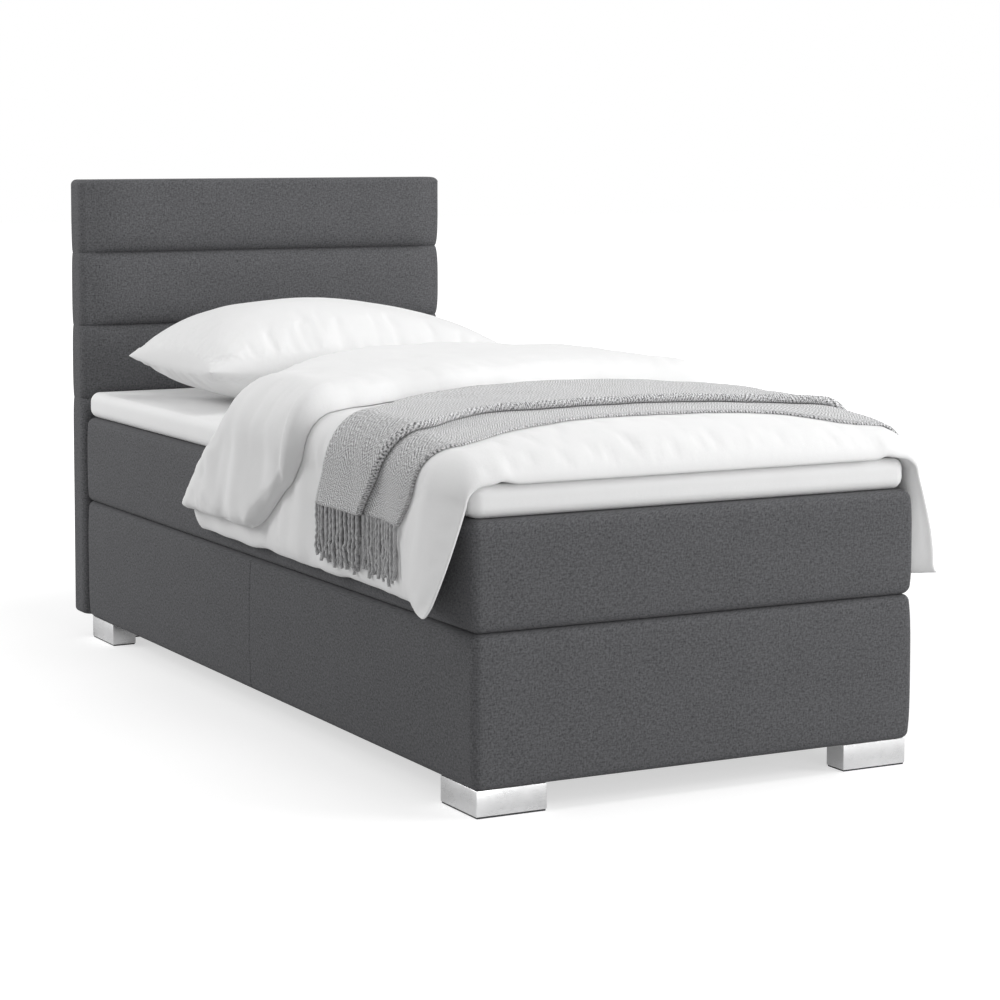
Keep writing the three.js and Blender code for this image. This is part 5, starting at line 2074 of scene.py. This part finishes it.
@dataclass
class NodeCopy:
    """A softened copy of one of the frame's solids: its edges rounded as the real piece's are."""

    node: str
    name: str
    radius: float
    segments: int = 3
    weld: float = 2e-6
    flat_angle: float = 0.6
    bevel_angle: float = 35
    sharp_angle: float = 32

    def build(self) -> Piece:
        """Makes the copy.

        Returns:
            The finished piece.
        """
        mesh = bpy.data.objects[self.node].data.copy()
        mesh.materials.clear()
        work = bmesh.new()
        work.from_mesh(mesh)
        bmesh.ops.remove_doubles(work, verts=work.verts, dist=self.weld)
        bmesh.ops.dissolve_limit(work, angle_limit=math.radians(self.flat_angle), verts=work.verts, edges=work.edges)
        work.to_mesh(mesh)
        work.free()
        piece = linked(self.name, mesh)
        bevel = piece.modifiers.new("edges", "BEVEL")
        bevel.width, bevel.segments, bevel.limit_method = self.radius, self.segments, "ANGLE"
        bevel.angle_limit = math.radians(self.bevel_angle)
        done = finished(piece)
        done.data.shade_smooth()
        done.data.set_sharp_from_angle(angle=math.radians(self.sharp_angle))
        return done


@dataclass
class PocketTree(TreeSketch):
    """The node tree of a spring core: a cloth pocket round each spring, on a grid."""

    across: int
    along: int
    gathered: float = 0.12
    fill: float = 0.497

    def __post_init__(self) -> None:
        """Opens the tree with its sizes as inputs."""
        super().__init__("spring pockets", dict.fromkeys(("Pitch Across", "Pitch Along", "Height"), 0.1))

    def build(self, material: Material) -> bpy.types.NodeTree:
        """Builds the tree.

        Args:
            material: The pockets' material.

        Returns:
            The node tree.
        """
        width = self.maths("MULTIPLY", self.start["Pitch Across"], float(self.across - 1))
        length = self.maths("MULTIPLY", self.start["Pitch Along"], float(self.along - 1))
        grid = self.add("GeometryNodeMeshGrid", {
            "Size X": width, "Size Y": length, "Vertices X": self.across, "Vertices Y": self.along}).outputs[0]
        placed = self.add("GeometryNodeInstanceOnPoints", {"Points": grid, "Instance": self.barrel()})
        return self.finish(placed.outputs[0], material)

    def barrel(self) -> Socket:
        """One pocket: a cylinder that is full at its middle and gathered at its ends.

        Returns:
            The pocket's socket.
        """
        inputs = {"Vertices": 20, "Side Segments": 8, "Fill Segments": 2, "Radius": 1.0, "Depth": 2.0}
        tube = self.add("GeometryNodeMeshCylinder", inputs).outputs[0]
        parts = self.split(self.add("GeometryNodeInputPosition").outputs[0])
        end = self.maths("POWER", self.maths("ABSOLUTE", parts[2]), 6.0)
        full = self.maths("SUBTRACT", 1.0, self.maths("MULTIPLY", end, self.gathered))
        sizes = [self.maths("MULTIPLY", self.start[name], self.fill) for name in ("Pitch Across", "Pitch Along")]
        level = [self.maths("MULTIPLY", self.maths("MULTIPLY", parts[axis], full), sizes[axis]) for axis in (0, 1)]
        high = self.maths("MULTIPLY", parts[2], self.maths("MULTIPLY", self.start["Height"], 0.5))
        return self.add("GeometryNodeSetPosition", {"Geometry": tube, "Position": self.joined(*level, high)}).outputs[0]


@dataclass
class SpringCore:
    """A pocket spring core that fills its node's box."""

    node: str
    name: str
    across: int
    along: int

    def build(self, material: Material) -> Piece:
        """Makes the core.

        Args:
            material: The pockets' material.

        Returns:
            The finished piece.
        """
        low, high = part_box(self.node)
        size, middle = high - low, (low + high) / 2
        piece = linked(self.name, bpy.data.meshes.new(self.name))
        tree = PocketTree(self.across, self.along).build(material)
        modifier = piece.modifiers.new("pockets", "NODES")
        modifier.node_group = tree
        wanted = {"Pitch Across": size.x / self.across, "Pitch Along": size.y / self.along, "Height": size.z}
        for item in tree.interface.items_tree:
            if item.in_out == "INPUT" and item.name in wanted:
                modifier[item.identifier] = wanted[item.name]
        done = finished(piece)
        for vertex in done.data.vertices:
            vertex.co += middle
        return done


@dataclass
class Linings:
    """The soft pieces inside the bed: foam, felt, spring cores, and the cloths that close it below and behind."""

    finishes: Finishes
    least_radius: float = 0.0004

    def build(self) -> None:
        """Makes and places every inner soft piece."""
        self.pads()
        self.sheets()
        cores = (("base_spring_core", "base_pocket_springs", 6, 13),
                 ("mattress_spring_core", "mattress_pocket_springs", 7, 16))
        for node, name, across, along in cores:
            core = SpringCore(node, name, across, along).build(self.finishes.pocket)
            dressed(core, self.finishes.pocket, Slot.POCKET, [node])

    def pads(self) -> None:
        """Makes the foam pieces."""
        radii = {"base_top_foam": 0.006, "base_side_padding": 0.0015, "mattress_foam_border": 0.004,
                 "mattress_bottom_foam": 0.005, "mattress_top_foam": 0.005, "topper_core": self.least_radius}
        radii |= {f"headboard_foam_{number}": self.least_radius for number in (1, 2, 3, 4)}
        for node, radius in radii.items():
            pad = NodeCopy(node, f"{node}_pad", radius).build()
            dressed(pad, self.finishes.foam, Slot.FOAM, [node])

    def sheets(self) -> None:
        """Makes the felts and the closing cloths."""
        felt = (self.finishes.felt, Slot.FELT, Held.LAID)
        lining = (self.finishes.lining, Slot.LINING, Held.STRETCHED)
        sheets = (("base_felt", felt, "base_spring_core"), ("mattress_bottom_felt", felt, "mattress_bottom_foam"),
                  ("mattress_top_felt", felt, "mattress_spring_core"), ("base_dust_cover", lining, "base_cover"),
                  ("mattress_underside", lining, "mattress_cover"),
                  ("headboard_back_cloth", lining, "headboard_board"))
        for node, (material, slot, held), rest in sheets:
            low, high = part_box(node)
            sheet = NodeCopy(node, f"{node}_cloth", self.least_radius, 2).build()
            dressed(sheet, material, slot, [node])


@dataclass
class Frame:
    """The timber frame, the board, the feet and the bolts."""

    finishes: Finishes
    foot_radius: float = 0.0011
    glide_radius: float = 0.0007

    def build(self, nodes: dict[str, Piece]) -> None:
        """Dresses the rigid solids, and rounds the edges of those that show.

        Args:
            nodes: The frame's solids by name.
        """
        for name, node in nodes.items():
            material = self.finish_of(name)
            if material is not None:
                node.data.materials.clear()
                node.data.materials.append(material)
        for place in ("front_left", "front_right", "rear_left", "rear_right"):
            foot = NodeCopy(f"foot_{place}", f"corner_foot_{place}", self.foot_radius).build()
            dressed(foot, self.finishes.metal, Slot.METAL, [f"foot_{place}"])
            glide = NodeCopy(f"foot_glide_{place}", f"foot_pad_{place}", self.glide_radius).build()
            dressed(glide, self.finishes.glide, Slot.GLIDE, [f"foot_glide_{place}"])

    def finish_of(self, name: str) -> Material | None:
        """The material of a rigid solid that keeps its own mesh.

        Args:
            name: The solid's name.

        Returns:
            Its material, or None for a solid that another piece stands for.
        """
        finishes = self.finishes
        rules = ((finishes.steel, ("_bolt",)), (finishes.board, ("headboard_board",)),
                 (finishes.long_timber, ("base_side_rail", "base_ledger", "base_centre_beam")),
                 (finishes.cross_timber, ("base_slat", "base_foot_rail", "base_head_rail")),
                 (finishes.end_timber, ("base_corner_block",)))
        return next((material for material, keys in rules if any(key in name for key in keys)), None)


@dataclass(frozen=True)
class SoftBox:
    """A square lamp that faces a point."""

    name: str
    place: tuple[float, float, float]
    target: tuple[float, float, float]
    size: float
    power: float

    def build(self) -> None:
        """Makes the lamp and turns it to its target."""
        data = bpy.data.lights.new(self.name, "AREA")
        data.shape, data.size, data.energy = "SQUARE", self.size, self.power
        lamp = linked(self.name, data)
        lamp.location = self.place
        way = np.array(self.target) - np.array(self.place)
        level = math.hypot(way[0], way[1])
        lamp.rotation_euler = (math.atan2(level, -way[2]), 0.0, math.atan2(way[1], way[0]) - QUARTER)


@dataclass
class Studio:
    """The camera, the lamps, the world and the floor."""

    camera_place: tuple[float, float, float] = (-2.625, -5.221, 1.192)
    yaw: float = 27.84
    pitch: float = 4.28
    lens: float = 99.07
    shift: float = -0.16
    ambient: float = 0.43
    floor_half: float = 30
    floor_shade: float = 0.55
    floor_light: float = 0.6
    floor_fade: tuple[float, float] = (1.5, 3.6)
    mirrored_share: float = 0.35
    lamps: tuple[SoftBox, ...] = (
        SoftBox("right soft box", (4.6, -0.5, 3.0), (0.0, 0.0, 0.4), 3.0, 46.0),
        SoftBox("front soft box", (3.8, -3.6, 2.2), (0.0, 0.0, 0.4), 2.5, 104.0),
        SoftBox("left soft box", (-4.2, 3.0, 2.8), (0.0, 0.0, 0.4), 2.5, 120.0),
        SoftBox("low soft box", (0.4, -6.4, 1.5), (0.0, 0.0, 0.5), 2.0, 58.0),
        SoftBox("head soft box", (0.3, -1.2, 3.4), (0.0, 0.96, 0.8), 1.6, 29.0))

    def build(self) -> None:
        """Sets up the studio."""
        self.camera()
        self.world()
        self.floor()
        for lamp in self.lamps:
            lamp.build()
        bpy.context.scene.view_settings.view_transform = "Standard"

    def camera(self) -> None:
        """Places the camera."""
        data = bpy.data.cameras.new("camera")
        data.lens, data.sensor_width, data.shift_y = self.lens, 36.0, self.shift
        data.clip_start, data.clip_end = 0.1, 100.0
        camera = linked("camera", data)
        camera.location = self.camera_place
        camera.rotation_euler = (math.radians(90 - self.pitch), 0.0, math.radians(-self.yaw))
        bpy.context.scene.camera = camera

    def world(self) -> None:
        """Makes the world white to look at, also by reflection or through glass, and dimmer as a light."""
        world = bpy.data.worlds.new("studio")
        world.use_nodes = True
        bpy.context.scene.world = world
        sketch = NodeSketch(world.node_tree)
        path = sketch.add("ShaderNodeLightPath").outputs
        pair = sketch.maths("MAXIMUM", path["Is Camera Ray"], path["Is Glossy Ray"])
        seen = sketch.maths("MAXIMUM", pair, path["Is Transmission Ray"])
        sketch.feed(world.node_tree.nodes["Background"], {
            "Color": (1.0, 1.0, 1.0, 1.0), "Strength": sketch.ranged(seen, 0.0, 1.0, self.ambient, 1.0)})

    def floor(self) -> None:
        """Lays a pale floor that keeps the bed's shadow."""
        half = self.floor_half
        points = np.array([[(-half, -half, 0), (half, -half, 0)], [(-half, half, 0), (half, half, 0)]], float)
        mesh = MeshSketch()
        mesh.grid(points, points[..., :2])
        floor = mesh.build("floor")
        material = bpy.data.materials.new("studio floor")
        material.use_nodes = True
        sketch = NodeSketch(material.node_tree)
        away = sketch.add("ShaderNodeVectorMath", {0: sketch.object_place()}, operation="LENGTH").outputs["Value"]
        light = sketch.ranged(away, *self.floor_fade, self.floor_light, 1.0)
        path = sketch.add("ShaderNodeLightPath").outputs
        seen = sketch.maths("MULTIPLY_ADD", path["Is Glossy Ray"], self.mirrored_share, path["Is Camera Ray"])
        sketch.feed(material.node_tree.nodes["Principled BSDF"], {
            "Base Color": (*(self.floor_shade,) * 3, 1.0), "Roughness": 1.0, "Specular IOR Level": 0.0,
            "Emission Color": (1.0, 1.0, 1.0, 1.0), "Emission Strength": sketch.maths("MULTIPLY", seen, light)})
        floor.data.materials.append(material)
        floor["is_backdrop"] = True


def corners(box: tuple[Sequence[float], Sequence[float]]) -> list[list[float]]:
    """Returns a box's two corners as plain lists."""
    return [[float(value) for value in corner] for corner in box]


def main() -> None:
    """Builds the bed in order."""
    logging.basicConfig(level=logging.INFO, format="%(name)s: %(message)s")
    bpy.ops.wm.read_factory_settings(use_empty=True)
    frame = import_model()
    solid_box = corners(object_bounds())
    sizes, finishes = BedSizes(), Finishes()
    Studio().build()
    Frame(finishes).build(frame["nodes"])
    Linings(finishes).build()

    base = UpholsteredBox("base_upholstery", "base_cover", sizes.base_bottom, sizes.base_top, 0.013, sizes, Ripple(3),
                          seams=True)
    mattress = UpholsteredBox("mattress_upholstery", "mattress_cover", sizes.mattress_bottom, sizes.mattress_top,
                              0.016, sizes, Ripple(4))
    for box in (base, mattress):
        dressed(box.build(), finishes.upholstery, Slot.UPHOLSTERY, [box.node])
    headboard = Headboard(sizes, Ripple(5)).build()
    dressed(headboard, finishes.upholstery, Slot.UPHOLSTERY, ["headboard_cover"])
    topper = Topper(sizes, Ripple(6)).build()
    dressed(topper, finishes.topper, Slot.TOPPER, ["topper_cover"])

    duvet = Duvet(Drape(sizes))
    dressed(duvet.build(), finishes.linen, Slot.LINEN, ["duvet"])
    pillow = Pillow(sizes, Ripple(8)).build()
    dressed(pillow, finishes.linen, Slot.LINEN, ["pillow"])
    throw = Throw(duvet)
    cloth, width = throw.build_cloth()
    dressed(cloth, finishes.throw, Slot.THROW, ["throw"])
    fringe = dressed(throw.build_fringe(finishes.strand), finishes.strand, Slot.THROW, [])

    {"cad": solid_box, "visual": corners(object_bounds())}


if __name__ == "__main__":
    main()
